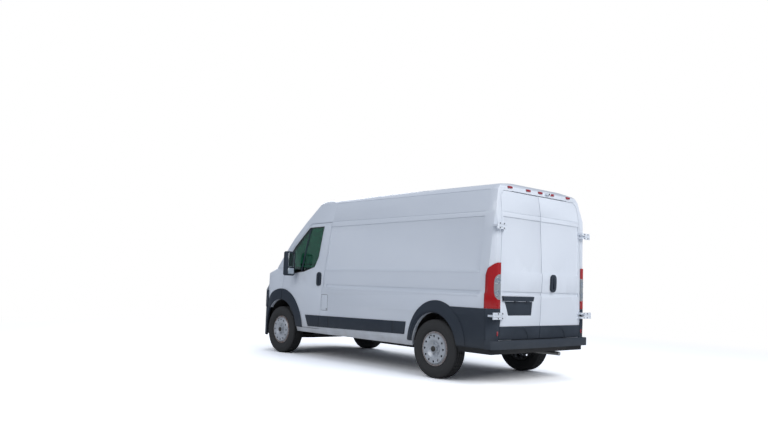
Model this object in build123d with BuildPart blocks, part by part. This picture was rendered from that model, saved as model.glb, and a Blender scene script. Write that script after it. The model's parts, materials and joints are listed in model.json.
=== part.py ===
"""Light delivery van with a high roof, built from its panels, doors and running gear.

Millimetres, +X forward, +Y left, +Z up. The origin is on the ground at half the overall length.
"""
from build123d import *
from math import cos, radians, sin
import os

# Whole van
length = 5413
wheelbase = 3450
front_overhang = 948
front_x = length / 2
rear_x = -length / 2
front_axle_x = front_x - front_overhang
rear_axle_x = front_axle_x - wheelbase

# Body section, from sill to roof crown
body_half = 1025
shoulder_half = 1012
body_bottom = 380
belt_z = 1090
recess_low_z = 1376
recess_high_z = 2050
gutter_z = 2100
roof_edge_half = 878
roof_edge_z = 2388
roof_shoulder_half = 800
roof_shoulder_z = 2462
roof_top_z = 2522
wall = 55
glass_thickness = 8
skin = 12
reach = 4000

# Floor and load space
floor_top = 535
floor_thickness = 30
floor_bottom = floor_top - floor_thickness
floor_rear_x = -2560
bulkhead_x = 1960
bulkhead_thickness = 30
floor_board = 5
floor_board_half = 690
floor_board_front_x = 560
wheelhouse_plate = 10

# Rear end: setback of the tail face from tail_x at each height, lowest first
tail_x = -2665
tail_profile = ((60, 380), (48, 560), (23, 790), (14, 1050), (0, 1300), (12, 1700), (38, 2100), (90, 2440),
                (170, 2498))
tail_crown = 30
tail_slab = 150
tail_corner = 90
leaf_half = 865
leaf_top_half = 826
leaf_top_z = 2376
leaf_bottom_z = 556
leaf_split_y = 45
leaf_trim_z = 715
leaf_field_half = 825
hump_half = 175
hump_rise = 135
marker_z = 2431
marker_width = 92
marker_height = 28
panel_gap = 6
split_gap = 9

# Nose and windscreen
nose_x = 2665
nose_side_x = 2440
nose_side_y = 800
bonnet_slope = 31
bonnet_base_x = 2448
bonnet_base_z = 1344
screen_base_z = 1330
screen_base_x = 2340
screen_crown = 150
screen_half = 870
screen_rake = 41
screen_top_z = 2120
bumper_top_z = 715
bumper_bottom_z = 250

# Wheels
wheel_radius = 372
tyre_width = 225
rim_flange_radius = 220
rim_bead_radius = 203
front_track = 1810
rear_track = 1790
disc_offset = 68
kingpin_y = 830

# Wheel arches, as half-ellipses about the wheel centre
arch_front_half = 440
arch_front_rise = 492
arch_rear_half = 400
arch_rear_rise = 462
arch_depth = 300
wheelhouse_inner_y = 560
rear_wheelhouse_inner_y = 711

# Rear door hinges: the pin line leans in with the body side
hinge_x = -2692
hinge_low_y = 1048
hinge_low_z = 843
hinge_high_y = 1003
hinge_high_z = 1922
hinge_pin_radius = 11
hinge_height = 84

# Cab door
door_front_x = 1722
door_bottom_z = 452
door_rear_low_x = 730
door_rear_high_x = 569
door_top_z = 2084

# Panels
glass_inset = 5
recess_depth = 12
groove_depth = 5
groove_width = 6
gutter_line = ((-2467, 2111), (600, 2101), (1045, 2096), (1150, 2058))
flap_x = 593
flap_z = 859
flap_width = 158
flap_height = 246
slider_rear_x = -690
slider_front_low_x = 585
slider_front_high_x = 530
slider_low_z = 452
slider_high_z = 2084
cowl_z = 1365
bonnet_half = 650
bonnet_front_z = 1091
grille_low_z = 906
grille_high_z = 1084
bumper_crown_z = 903
bumper_wall = 35
quarter_rear_x = -2547
step_low_z = 446
step_high_z = 546
rib_count = 7
rib_pitch = 380
rib_first_x = -2200
rib_width = 90
rib_half = 620
rib_depth = 9
handle_x = 758
handle_z = 1212
handle_height = 210
handle_width = 96
handle_stand = 26

# Hinges, mirrors and seals
hinge_play = 0.6
hinge_bracket_y = 900
mirror_x = 1370
mirror_inner_y = 1072
mirror_outer_y = 1254
mirror_depth = 110
mirror_low_z = 1250
mirror_height = 385
seal_play = 0.3
seal_depth = 14
seal_lap = 26

# Floor structure and running gear
cab_floor_x = 1300
rail_y = 520
rail_width = 80
rail_height = 75
body_rail_z = 480
subframe_z = 235
subframe_height = 60
ball_pin_radius = 12
ball_pin_height = 60
pin_fit = 0.05
strut_y = 738
strut_radius = 26
strut_top_z = 862
spindle_radius = 30
spindle_out = 24
axle_beam_half = 800
axle_beam_radius = 38
spring_y = 640
spring_rear_x = -2390
spring_front_x = -1000
spring_eye_z = 445
spring_seat_z = 408
spring_thickness = 16
exhaust_y = -430
exhaust_z = 300
vent_count = 12
vent_radius = 15
lug_circle = 130
cap_radius = 48
rim_inner_w = -150
rim_outer_w = 15
rim_flange = 8
rim_slope = 4
bead_fit = 0.3
bead_rise = 30
bead_lean = 8
belly_drop = 78
shoulder_drop = 24
shoulder_lean = 12
shoulder_width = 34
seat_x = 1020
seat_offset = 480


def write_piece(builder, label):
    """Name a finished piece and write its STEP file."""
    builder.part.label = label
    export_step(builder.part, f"parts/{label}.step")


def side_prism(outline, near, far, grow=0):
    """Prism over an outline in the XZ plane, from y = near to y = far, its outline grown by a gap."""
    with BuildPart() as prism:
        with BuildSketch(Plane.XZ.offset(-near)):
            with BuildLine():
                Polyline(*outline, close=True)
            make_face()
            if grow:
                offset(amount=grow)
        extrude(amount=near - far)
    return prism.part


def rear_prism(outline, near, far, grow=0):
    """Prism over an outline in the YZ plane, from x = near to x = far."""
    with BuildPart() as prism:
        with BuildSketch(Plane.YZ.offset(near)):
            with BuildLine():
                Polyline(*outline, close=True)
            make_face()
            if grow:
                offset(amount=grow)
        extrude(amount=far - near)
    return prism.part


def plan_prism(outline, low, high, grow=0):
    """Prism over an outline in the XY plane, from z = low to z = high."""
    with BuildPart() as prism:
        with BuildSketch(Plane.XY.offset(low)):
            with BuildLine():
                Polyline(*outline, close=True)
            make_face()
            if grow:
                offset(amount=grow)
        extrude(amount=high - low)
    return prism.part


def arch_prism(axle_x, half, rise, near, far):
    """Half-ellipse wheel arch about an axle, running down past the sill, from y = near to y = far."""
    with BuildPart() as prism:
        with BuildSketch(Plane.XZ.offset(-near)):
            with Locations((axle_x, wheel_radius)):
                Ellipse(half, rise)
            with Locations((axle_x, wheel_radius - rise / 2 - 20)):
                Rectangle(2 * half, rise + 40, mode=Mode.SUBTRACT)
            with Locations((axle_x, wheel_radius - arch_depth / 2)):
                Rectangle(2 * half, arch_depth)
        extrude(amount=near - far)
    return prism.part


def oblique_form(edge_x, centre_x, half, base_z, slope, inset):
    """Space behind a horizontal arc swept along a slope, for the windscreen and the bonnet."""
    with BuildSketch(Plane.XY.offset(base_z)) as plan:
        with BuildLine():
            ThreePointArc((edge_x, half), (centre_x, 0), (edge_x, -half))
            Polyline((edge_x, half), (edge_x - 250, body_half + 200), (-2 * reach, body_half + 200),
                     (-2 * reach, -body_half - 200), (edge_x - 250, -body_half - 200), (edge_x, -half))
        make_face()
        if inset:
            offset(amount=-inset / sin(radians(slope)))
    with BuildPart() as form:
        up_and_back = (-cos(radians(slope)), 0, sin(radians(slope)))
        down_and_forward = (cos(radians(slope)), 0, -sin(radians(slope)))
        extrude(plan.sketch, amount=2400, dir=up_and_back)
        extrude(plan.sketch, amount=3200, dir=down_and_forward)
    return form.part


def tail_points():
    """Tail face from bottom to roof, as points in the XZ plane."""
    return [(tail_x + setback, z) for setback, z in tail_profile]


def upper_form(inset):
    """Load space and cab above the belt, behind the raked and curved windscreen."""
    screen = oblique_form(
        screen_base_x - screen_crown, screen_base_x, screen_half, screen_base_z, screen_rake, inset
    )
    with BuildPart() as form:
        with BuildSketch(Plane.YZ):
            with BuildLine():
                Polyline(
                    (0, body_bottom),
                    (shoulder_half, body_bottom),
                    (shoulder_half, belt_z),
                    (shoulder_half - 4, recess_low_z),
                    (976, 1900),
                    (956, gutter_z),
                    (roof_edge_half, roof_edge_z),
                    (roof_shoulder_half, roof_shoulder_z),
                )
                mirror(about=Plane.YZ)
                ThreePointArc(
                    (roof_shoulder_half, roof_shoulder_z), (0, roof_top_z),
                              (-roof_shoulder_half, roof_shoulder_z)
                )
            make_face()
            if inset:
                offset(amount=-inset)
        extrude(amount=reach, both=True)
        with BuildSketch(Plane.XZ):
            with BuildLine():
                Polyline(*tail_points()[2:])
                Polyline((tail_x + 170, 2498), (-1200, roof_top_z + 1), (350, roof_top_z + 1))
                ThreePointArc((350, roof_top_z + 1), (870, 2455), (1340, 2262))
                Polyline((1340, 2262), (2600, 1400), (2600, 790), (tail_x + 23, 790))
            make_face()
            if inset:
                offset(amount=-inset)
        extrude(amount=reach, both=True, mode=Mode.INTERSECT)
        side_y = body_half + 10 - inset
        with BuildSketch(Plane.XY):
            with BuildLine():
                Polyline((tail_x + tail_crown + tail_corner, side_y), (800, side_y))
                ThreePointArc((800, side_y), (1500, 982 - inset), (2050, 880 - inset))
                Polyline((2050, 880 - inset), (2900, 700 - inset), (2900, 0))
                Polyline((tail_x + tail_crown + inset, body_half - tail_corner),
                         (tail_x + tail_crown + tail_corner, side_y))
                mirror(about=Plane.XZ)
                ThreePointArc((tail_x + tail_crown + inset, body_half - tail_corner), (tail_x + inset, 0),
                              (tail_x + tail_crown + inset, tail_corner - body_half))
            make_face()
        extrude(amount=reach, mode=Mode.INTERSECT)
        add(screen, mode=Mode.INTERSECT)
    return form.part


def lower_form(inset):
    """Body below the belt, with the nose and bonnet."""
    bonnet = oblique_form(
        bonnet_base_x - (nose_x - nose_side_x), bonnet_base_x, nose_side_y, bonnet_base_z, bonnet_slope, inset
    )
    drop = 3 * inset
    with BuildPart() as form:
        with BuildSketch(Plane.YZ):
            with BuildLine():
                Polyline(
                    (0, body_bottom - drop),
                    (body_half - 50, body_bottom - drop),
                    (body_half - 18, body_bottom + 90),
                    (body_half, belt_z - 250),
                    (body_half, belt_z),
                    (shoulder_half - 12, belt_z + 60),
                    (945, 1290),
                    (860, 1375),
                    (0, 1410),
                )
                mirror(about=Plane.YZ)
            make_face()
            if inset:
                offset(amount=-inset)
        extrude(amount=reach, both=True)
        with BuildSketch(Plane.XZ):
            with BuildLine():
                Polyline((tail_x + 60, body_bottom - drop - 1), *tail_points()[:5], (tail_x, 1420),
                         (2100, 1420))
                Polyline((2100, 1420), (2330, 1362), (2560, 1235))
                ThreePointArc((2560, 1235), (2640, 1140), (nose_x + 5, 1000))
                Polyline((nose_x + 5, 1000), (nose_x + 5, body_bottom - drop - 1),
                         (tail_x + 60, body_bottom - drop - 1))
            make_face()
            if inset:
                offset(amount=-inset)
        extrude(amount=reach, both=True, mode=Mode.INTERSECT)
        side_y = body_half + 10 - inset
        corner = (nose_side_x - 0.8 * inset, nose_side_y - 0.6 * inset)
        with BuildSketch(Plane.XY):
            with BuildLine():
                Polyline((tail_x + tail_crown + tail_corner, side_y), (1700, side_y))
                ThreePointArc((1700, side_y), (2140 - 0.4 * inset, 990 - 0.9 * inset), corner)
                Polyline((tail_x + tail_crown + inset, body_half - tail_corner),
                         (tail_x + tail_crown + tail_corner, side_y))
                mirror(about=Plane.XZ)
                ThreePointArc((tail_x + tail_crown + inset, body_half - tail_corner), (tail_x + inset, 0),
                              (tail_x + tail_crown + inset, tail_corner - body_half))
                ThreePointArc(corner, (nose_x - inset, 0), (corner[0], -corner[1]))
            make_face()
        extrude(amount=reach, mode=Mode.INTERSECT)
        add(bonnet, mode=Mode.INTERSECT)
    return form.part


def body_form(inset):
    """Whole outer form of the body, moved in by inset."""
    with BuildPart() as form:
        add(lower_form(inset))
        add(upper_form(inset))
    return form.part


os.makedirs("parts", exist_ok=True)

# Outer form, hollow inside, and the thin skin that the cladding takes up
outer = body_form(0)
inner = body_form(wall)
skin_outer = body_form(-skin)
with BuildPart() as shell:
    add(outer)
    add(inner, mode=Mode.SUBTRACT)
with BuildPart() as cladding_skin:
    add(skin_outer)
    add(outer, mode=Mode.SUBTRACT)
with BuildPart() as glass_skin:
    add(upper_form(glass_inset))
    add(upper_form(glass_inset + glass_thickness), mode=Mode.SUBTRACT)


def cut_out(solid, regions, removed):
    """Part of a solid that lies in every region and outside every removed region."""
    with BuildPart() as piece:
        add(solid)
        for region in regions:
            add(region, mode=Mode.INTERSECT)
        for region in removed:
            add(region, mode=Mode.SUBTRACT)
    return piece.part


# Openings and outlines shared by the panels that meet there
door_outline = (
    (door_rear_low_x, door_bottom_z),
    (door_rear_high_x, door_top_z),
    (1039, door_top_z - 6),
    (1130, 2045),
    (1700, 1560),
    (1800, 1300),
    (door_front_x, 1040),
    (door_front_x, door_bottom_z),
)
window_outline = ((745, 2032), (1122, 2024), (1570, 1640), (1500, 1290), (1180, 1318), (900, 1395),
                  (815, 1560))
front_arch = {side: arch_prism(front_axle_x, arch_front_half, arch_front_rise, side * wheelhouse_inner_y,
                               side * reach)
              for side in (1, -1)}
rear_arch = {side: arch_prism(rear_axle_x, arch_rear_half, arch_rear_rise, side * rear_wheelhouse_inner_y,
                              side * reach)
             for side in (1, -1)}
door_region = side_prism(door_outline, 600, reach)
door_opening = side_prism(door_outline, -reach, reach, panel_gap)
window_region = side_prism(window_outline, 600, reach)
tail_outline = (
    (-leaf_half, leaf_bottom_z), (leaf_half, leaf_bottom_z), (leaf_half - 2, 1500), (leaf_half - 10, 1900),
    (leaf_top_half + 6, leaf_top_z - 70), (leaf_top_half - 60, leaf_top_z), (-leaf_top_half + 60, leaf_top_z),
    (-leaf_top_half - 6, leaf_top_z - 70), (-leaf_half + 10, 1900), (-leaf_half + 2, 1500),
)
tail_near = tail_x - 200
tail_far = tail_x + 330
tail_opening = rear_prism(tail_outline, tail_near, tail_far, panel_gap)
lamp_outline = ((-2800, 1516), (-2700, 1512), (-2620, 1462), (-2560, 1400), (-2534, 1325), (-2530, 928),
                (-2800, 928))
lamp_side = leaf_half + panel_gap
lamp_region = {side: side_prism(lamp_outline, side * lamp_side, side * reach) for side in (1, -1)}
screen_outline = ((-812, 1402), (812, 1402), (752, 2082), (-752, 2082))
screen_opening = rear_prism(screen_outline, 900, 2900)
bonnet_edge = (
    (2290, -bonnet_half),
    (2355, -bonnet_half / 2),
    (2375, 0),
    (2355, bonnet_half / 2),
    (2290, bonnet_half),
    (2900, bonnet_half),
    (2900, -bonnet_half),
)
bonnet_region = plan_prism(bonnet_edge, bonnet_front_z, 1420)
bonnet_opening = plan_prism(bonnet_edge, bonnet_front_z - panel_gap, 1420, panel_gap)
headlamp_outline = ((2900, 985), (2450, 1000), (2290, 1250), (2330, 1320), (2900, 1320))
headlamp_near = bonnet_half + panel_gap
headlamp_region = {side: side_prism(headlamp_outline, side * headlamp_near, side * reach) for side in (1, -1)}

# Body side: one pressed panel from the cab door to the tail, with a recessed upper field
side_outline = (
    (-2800, 300),
    (-2800, roof_edge_z),
    (555, roof_edge_z),
    (555, 2060),
    (760, 2060),
    (760, 1000),
    (1330, 1000),
    (1330, 300),
)
side_half = side_prism(side_outline, 600, reach)
recess_outline = ((-2457, recess_high_z), (563, recess_high_z - 30), (612, recess_low_z - 18),
                  (-2432, recess_low_z))
groove_outline = ((-2447, belt_z + 6), (-2447, belt_z + 48), (575, belt_z + 48), (575, belt_z + 6))
recess_floor = upper_form(recess_depth)
groove_floor = body_form(groove_depth)
press_floor = body_form(recess_depth)
with BuildPart() as recess_field:
    add(side_prism(recess_outline, 600, reach))
    add(recess_floor, mode=Mode.SUBTRACT)
with BuildPart() as belt_groove:
    add(side_prism(groove_outline, 600, reach))
    add(recess_floor, mode=Mode.SUBTRACT)
gutter_outline = gutter_line + tuple((x, z - groove_width) for x, z in reversed(gutter_line))
seam_low_z = roof_edge_z - groove_width / 2
with BuildPart() as roof_grooves:
    add(side_prism(gutter_outline, -reach, reach))
    with Locations(((tail_x + 198 + 550) / 2, 0, seam_low_z)):
        Box(550 - tail_x - 198, 2 * reach, groove_width, align=(Align.CENTER, Align.CENTER, Align.MIN))
    add(groove_floor, mode=Mode.SUBTRACT)
with BuildPart() as flap_groove:
    with BuildSketch(Plane.XZ.offset(-600)):
        with Locations((flap_x, flap_z)):
            RectangleRounded(flap_width, flap_height, 20)
            RectangleRounded(flap_width - 2 * groove_width, flap_height - 2 * groove_width, 14,
                             mode=Mode.SUBTRACT)
    extrude(amount=-reach)
    add(groove_floor, mode=Mode.SUBTRACT)
with BuildPart() as side_blank:
    add(cut_out(shell.part, [side_half],
                [door_opening, front_arch[1], rear_arch[1], tail_opening, lamp_region[1]]))
    add(recess_field.part, mode=Mode.SUBTRACT)
    add(belt_groove.part, mode=Mode.SUBTRACT)
    add(roof_grooves.part, mode=Mode.SUBTRACT)
with BuildPart() as side_panel_left:
    add(side_blank.part)
    add(flap_groove.part, mode=Mode.SUBTRACT)
write_piece(side_panel_left, "side_panel_left")

# Right body side, cut for the sliding door
slider_outline = ((slider_rear_x, slider_low_z), (slider_rear_x, slider_high_z),
                  (slider_front_high_x, slider_high_z),
                  (slider_front_low_x, slider_low_z))
slider_region = side_prism(slider_outline, -reach, -600)
slider_opening = side_prism(slider_outline, -reach, -600, panel_gap)
with BuildPart() as right_blank:
    mirror(side_blank.part, about=Plane.XZ)
with BuildPart() as side_panel_right:
    add(right_blank.part)
    add(slider_opening, mode=Mode.SUBTRACT)
write_piece(side_panel_right, "side_panel_right")
with BuildPart() as sliding_door:
    add(right_blank.part)
    add(slider_region, mode=Mode.INTERSECT)
write_piece(sliding_door, "sliding_door")

# High roof with a front dome over the cab and pressed cross ribs
roof_outline = ((-2800, roof_edge_z), (555, roof_edge_z), (555, 2060), (1190, 2060), (1190, screen_top_z),
                (2900, screen_top_z),
                (2900, 2900), (-2800, 2900))
with BuildPart() as rib_grooves:
    with Locations([(rib_first_x + rib_pitch * number, 0, roof_shoulder_z) for number in range(rib_count)]):
        Box(rib_width, 2 * rib_half, 90, align=(Align.CENTER, Align.CENTER, Align.MIN))
    add(upper_form(rib_depth), mode=Mode.SUBTRACT)
with BuildPart() as roof_shell:
    add(cut_out(shell.part, [side_prism(roof_outline, -reach, reach)], [door_opening, tail_opening]))
    add(rib_grooves.part, mode=Mode.SUBTRACT)
    add(roof_grooves.part, mode=Mode.SUBTRACT)
write_piece(roof_shell, "roof_shell")

# Windscreen pillars and glass
pillar_outline = ((1190, screen_top_z), (1190, 2060), (1100, 2060), (1100, cowl_z), (2900, cowl_z),
                  (2900, screen_top_z))
with BuildPart() as screen_frame:
    add(cut_out(shell.part, [side_prism(pillar_outline, -reach, reach)],
                [door_opening, screen_opening, bonnet_opening]))
write_piece(screen_frame, "screen_frame")
with BuildPart() as windscreen:
    add(cut_out(glass_skin.part, [screen_opening], []))
write_piece(windscreen, "windscreen")

# Cowl strip between the bonnet and the windscreen
cowl_outline = ((1990, -bonnet_half), (2420, -bonnet_half), (2420, bonnet_half), (1990, bonnet_half))
cowl_region = plan_prism(cowl_outline, 1200, cowl_z)
with BuildPart() as cowl:
    add(cut_out(shell.part, [cowl_region], [bonnet_opening]))
write_piece(cowl, "cowl")

# Bonnet, wings, headlamps and grille
with BuildPart() as bonnet:
    add(cut_out(shell.part, [bonnet_region], []))
write_piece(bonnet, "bonnet")
wing_outline = ((door_front_x + panel_gap, bumper_top_z), (door_front_x + panel_gap, cowl_z), (2900, cowl_z),
                (2900, bumper_top_z))
wing_removed = [door_opening, bonnet_opening, cowl_region, screen_opening]
with BuildPart() as wing_left:
    add(cut_out(shell.part, [side_prism(wing_outline, bonnet_half, reach)],
                wing_removed + [front_arch[1], headlamp_region[1]]))
write_piece(wing_left, "wing_left")
with BuildPart() as wing_right:
    mirror(wing_left.part, about=Plane.XZ)
write_piece(wing_right, "wing_right")
with BuildPart() as headlamps:
    add(cut_out(shell.part, [headlamp_region[1]], []))
    mirror(about=Plane.XZ)
write_piece(headlamps, "headlamps")
grille_region = rear_prism(((-bonnet_half, grille_low_z), (bonnet_half, grille_low_z),
                            (bonnet_half, grille_high_z),
                            (-bonnet_half, grille_high_z)), 2300, 2900)
with BuildPart() as grille:
    add(cut_out(shell.part, [grille_region], []))
    with Locations([(2600, 0, grille_low_z + 30 + 34 * row) for row in range(4)]):
        Box(500, 2 * bonnet_half - 80, 20, align=(Align.CENTER, Align.CENTER, Align.MIN), mode=Mode.SUBTRACT)
write_piece(grille, "grille")


def bumper_form(inset):
    """Front bumper's outer form, moved in by inset."""
    corner = (2478 - 0.8 * inset, 822 - 0.6 * inset)
    side_y = body_half + skin - inset
    with BuildPart() as form:
        with BuildSketch(Plane.XY.offset(bumper_bottom_z)):
            with BuildLine():
                Line((1700, 0), (1700, side_y))
                ThreePointArc((1700, side_y), (2150 - 0.4 * inset, 1005 - 0.9 * inset), corner)
                mirror(about=Plane.XZ)
                ThreePointArc(corner, (front_x - inset, 0), (corner[0], -corner[1]))
            make_face()
        extrude(amount=bumper_crown_z - bumper_bottom_z)
        with BuildSketch(Plane.XZ):
            with BuildLine():
                Polyline((1600, bumper_bottom_z - 5), (2560 - inset, bumper_bottom_z - 5),
                         (2675 - inset, 340), (front_x + 1 - inset, 450),
                         (front_x + 1 - inset, 600), (2684 - inset, bumper_top_z),
                         (2672 - inset, bumper_crown_z + 5),
                         (1600, bumper_crown_z + 5), close=True)
            make_face()
        extrude(amount=reach, both=True, mode=Mode.INTERSECT)
    return form.part


bumper_outline = ((-1100, 200), (1100, 200), (1100, bumper_top_z - 3), (bonnet_half, bumper_top_z - 3),
                  (bonnet_half, bumper_crown_z - 3),
                  (-bonnet_half, bumper_crown_z - 3), (-bonnet_half, bumper_top_z - 3),
                  (-1100, bumper_top_z - 3))
with BuildPart() as front_bumper:
    add(cut_out(bumper_form(0), [rear_prism(bumper_outline, 1800, 2900)],
                [bumper_form(bumper_wall), front_arch[1], front_arch[-1]]))
    with Locations((2600, 0, 400)):
        Box(500, 900, 150, align=(Align.CENTER, Align.CENTER, Align.MIN), mode=Mode.SUBTRACT)
    with Locations([(2650, 0, 445 + 50 * row) for row in range(2)]):
        Box(40, 900, 14, align=(Align.CENTER, Align.CENTER, Align.MIN))
write_piece(front_bumper, "front_bumper")

# Cladding: arch lips, quarter panels and rubbing strips
with BuildPart() as front_lip_band:
    with BuildSketch(Plane.XZ.offset(-700)):
        with Locations((front_axle_x - 10, wheel_radius)):
            Ellipse(590, 665)
    extrude(amount=-600)
with BuildPart() as rear_lip_band:
    with BuildSketch(Plane.XZ.offset(-700)):
        with Locations((rear_axle_x - 49, wheel_radius)):
            Ellipse(525, 620)
    extrude(amount=-600)
strip_outline = ((1075, 648), (-1189, 685), (-1159, 518), (999, 476))
strip = side_prism(strip_outline, 700, reach)
quarter = side_prism(((quarter_rear_x, 440), (-1900, 440), (-1900, 926), (quarter_rear_x, 926)), 700, reach)
sill_cut = side_prism(((-2800, 200), (2900, 200), (2900, 446), (-2800, 446)), 600, reach)
lip_solid = cladding_skin.part
handle_outer = body_form(-handle_stand)
with BuildPart() as slider_handle:
    with BuildSketch(Plane.XZ.offset(600)):
        with Locations((slider_front_low_x - 120, handle_z)):
            SlotOverall(handle_height, handle_width, rotation=90)
    extrude(amount=reach)
with BuildPart() as door_trim_blank:
    add(front_lip_band.part)
    add(strip)
with BuildPart() as wing_trims:
    add(cut_out(lip_solid, [front_lip_band.part, side_prism(wing_outline, 700, reach)],
                [front_arch[1],
                 side_prism(((1600, 600), (1600, 1200), (door_front_x + 10, 1200),
                             (door_front_x + 10, 600)), 600, reach)]))
    mirror(about=Plane.XZ)
write_piece(wing_trims, "wing_trims")
with BuildPart() as chassis_trim_blank:
    add(rear_lip_band.part)
    add(cut_out(strip, [], [side_prism(((-936, 0), (-936, 900), (-931, 900), (-931, 0)), 600, reach)]))
    add(quarter)
with BuildPart() as side_cladding_left:
    add(cut_out(lip_solid, [chassis_trim_blank.part, side_half],
                [door_opening, rear_arch[1], sill_cut,
                 side_prism(((488, 0), (488, 900), (493, 900), (493, 0)), 600, reach)]))
write_piece(side_cladding_left, "side_cladding_left")
with BuildPart() as side_cladding_right:
    mirror(side_cladding_left.part, about=Plane.XZ)
    add(slider_opening, mode=Mode.SUBTRACT)
write_piece(side_cladding_right, "side_cladding_right")
with BuildPart() as sliding_door_trim:
    mirror(side_cladding_left.part, about=Plane.XZ)
    add(slider_region, mode=Mode.INTERSECT)
    add(cut_out(handle_outer, [slider_handle.part], [outer]))
write_piece(sliding_door_trim, "sliding_door_trim")

# Rear bumper: step bar and corner pieces
corner_outline = ((-2800, 446), (quarter_rear_x - 3, 446), (quarter_rear_x - 3, 926), (-2800, 926))
with BuildPart() as bumper_corners:
    add(cut_out(cladding_skin.part, [side_prism(corner_outline, lamp_side, reach)], [tail_opening]))
    mirror(about=Plane.XZ)
with BuildPart() as rear_bumper:
    with BuildSketch(Plane.XY.offset(step_low_z)):
        with BuildLine():
            Polyline((quarter_rear_x - 3, 1040), (-2640, 1030), (-2690, 960))
            Line((quarter_rear_x - 3, 1040), (quarter_rear_x - 3, 0))
            mirror(about=Plane.XZ)
            ThreePointArc((-2690, 960), (rear_x, 0), (-2690, -960))
        make_face()
    extrude(amount=step_high_z - step_low_z)
    add(outer, mode=Mode.SUBTRACT)
    add(bumper_corners.part)
write_piece(rear_bumper, "rear_bumper")

# Tail lamps
with BuildPart() as tail_lamps:
    add(cut_out(skin_outer, [lamp_region[1]], [inner, tail_opening]))
    mirror(about=Plane.XZ)
write_piece(tail_lamps, "tail_lamps")

# Roof marker lamps on the rear header
with BuildPart() as marker_field:
    with BuildSketch(Plane.YZ.offset(tail_near)):
        with Locations([(y, marker_z) for y in (-640, -260, 0, 260, 640)]):
            SlotOverall(marker_width, marker_height)
    extrude(amount=tail_far - tail_near)
with BuildPart() as roof_marker_lamps:
    add(cut_out(cladding_skin.part, [marker_field.part], []))
write_piece(roof_marker_lamps, "roof_marker_lamps")

# Rear door hinges: a middle knuckle on the body between two knuckles on the leaf's straps
hinge_lean = (hinge_high_y - hinge_low_y) / (hinge_high_z - hinge_low_z)
hinge_rows = ((hinge_low_z, hinge_low_y), (hinge_high_z, hinge_high_y))
knuckle_third = hinge_height / 6
with BuildPart() as rear_hinge_brackets:
    for hinge_z, pin_y in hinge_rows:
        pin = Plane(origin=(hinge_x, pin_y, hinge_z), x_dir=(1, 0, 0), z_dir=(0, hinge_lean, 1))
        with BuildSketch(pin.offset(-knuckle_third + hinge_play / 2)):
            Circle(hinge_pin_radius)
        extrude(amount=2 * knuckle_third - hinge_play)
        with BuildSketch(Plane.XY.offset(hinge_z - knuckle_third + 2)):
            with Locations(((hinge_x - 6 + tail_x + 60) / 2, (hinge_bracket_y + pin_y) / 2)):
                Rectangle(tail_x + 66 - hinge_x, pin_y - hinge_bracket_y)
        extrude(amount=2 * knuckle_third - 4)
    add(outer, mode=Mode.SUBTRACT)
    add(bumper_corners.part, mode=Mode.SUBTRACT)
    mirror(about=Plane.XZ)
write_piece(rear_hinge_brackets, "rear_hinge_brackets")
with BuildPart() as leaf_straps:
    for hinge_z, pin_y in hinge_rows:
        pin = Plane(origin=(hinge_x, pin_y, hinge_z), x_dir=(1, 0, 0), z_dir=(0, hinge_lean, 1))
        for low in (-hinge_height / 2, knuckle_third + hinge_play / 2):
            with BuildSketch(pin.offset(low)):
                Circle(hinge_pin_radius)
            extrude(amount=2 * knuckle_third - hinge_play / 2)
        for low in (-hinge_height / 2 + 1, knuckle_third + 1):
            with BuildSketch(Plane.XY.offset(hinge_z + low)):
                with Locations((hinge_x, (leaf_half - 44 + pin_y) / 2)):
                    Rectangle(12, pin_y - leaf_half + 44)
                with Locations((hinge_x + 64, leaf_half - 24)):
                    Rectangle(140, 40)
            extrude(amount=2 * knuckle_third - 2)
    add(outer, mode=Mode.SUBTRACT)

with BuildPart() as straps_right:
    mirror(leaf_straps.part, about=Plane.XZ)
leaf_straps_by_side = {1: leaf_straps.part, -1: straps_right.part}

# Rear doors: each leaf is as deep as the wall, with the pressed fields that cross both leaves
tail_block = ((-2900, 0), (-2900, 2900), (-2000, 2900), (-2000, 0))
leaf_half_space = {1: side_prism(tail_block, leaf_split_y + split_gap / 2, reach),
                   -1: side_prism(tail_block, leaf_split_y - split_gap / 2, -reach)}
tail_region = rear_prism(tail_outline, tail_near, tail_far)
with BuildPart() as plate_field:
    add(rear_prism(((712, 846), (240, 846), (226, 1015), (785, 1015)), tail_near, tail_far))
with BuildPart() as leaf_pressings:
    for low, high, floor in ((recess_low_z, recess_high_z, press_floor),
                             (belt_z + 6, belt_z + 48, press_floor),
                             (gutter_z + 8, gutter_z + 8 + groove_width, groove_floor)):
        field = ((-leaf_field_half, low), (leaf_field_half, low), (leaf_field_half, high),
                 (-leaf_field_half, high))
        add(cut_out(rear_prism(field, tail_near, tail_x + tail_slab), [], [floor]))
    add(cut_out(plate_field.part, [], [press_floor]))
for side, name in ((1, "left"), (-1, "right")):
    with BuildPart() as rear_door:
        add(cut_out(shell.part, [tail_region, leaf_half_space[side]], [leaf_pressings.part]))
        add(leaf_straps_by_side[side])
    write_piece(rear_door, f"rear_door_{name}")

# Rear door trims: lower cladding with a hump on each leaf, handle, plate field under its dark bar
cladding_floor = body_form(-skin / 2)
with BuildPart() as cladding_humps:
    with BuildSketch(Plane.YZ.offset(tail_near)):
        with Locations([(y, leaf_bottom_z) for y in (460, -350)]):
            Ellipse(hump_half, hump_rise)
    extrude(amount=tail_x + tail_slab - tail_near)
    add(cladding_floor, mode=Mode.SUBTRACT)
leaf_trim_region = rear_prism(((-leaf_half, leaf_bottom_z), (leaf_half, leaf_bottom_z),
                               (leaf_half, leaf_trim_z),
                               (-leaf_half, leaf_trim_z)), tail_near, tail_far)
with BuildPart() as plate_shape:
    add(rear_prism(((820, 1022), (240, 1022), (226, 1080), (835, 1080)), tail_near, tail_far))
with BuildPart() as leaf_handle:
    with BuildSketch(Plane.YZ.offset(tail_x - 60)):
        with Locations((-186, 1258)):
            SlotOverall(226, 112, rotation=90)
    extrude(amount=200)
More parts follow.
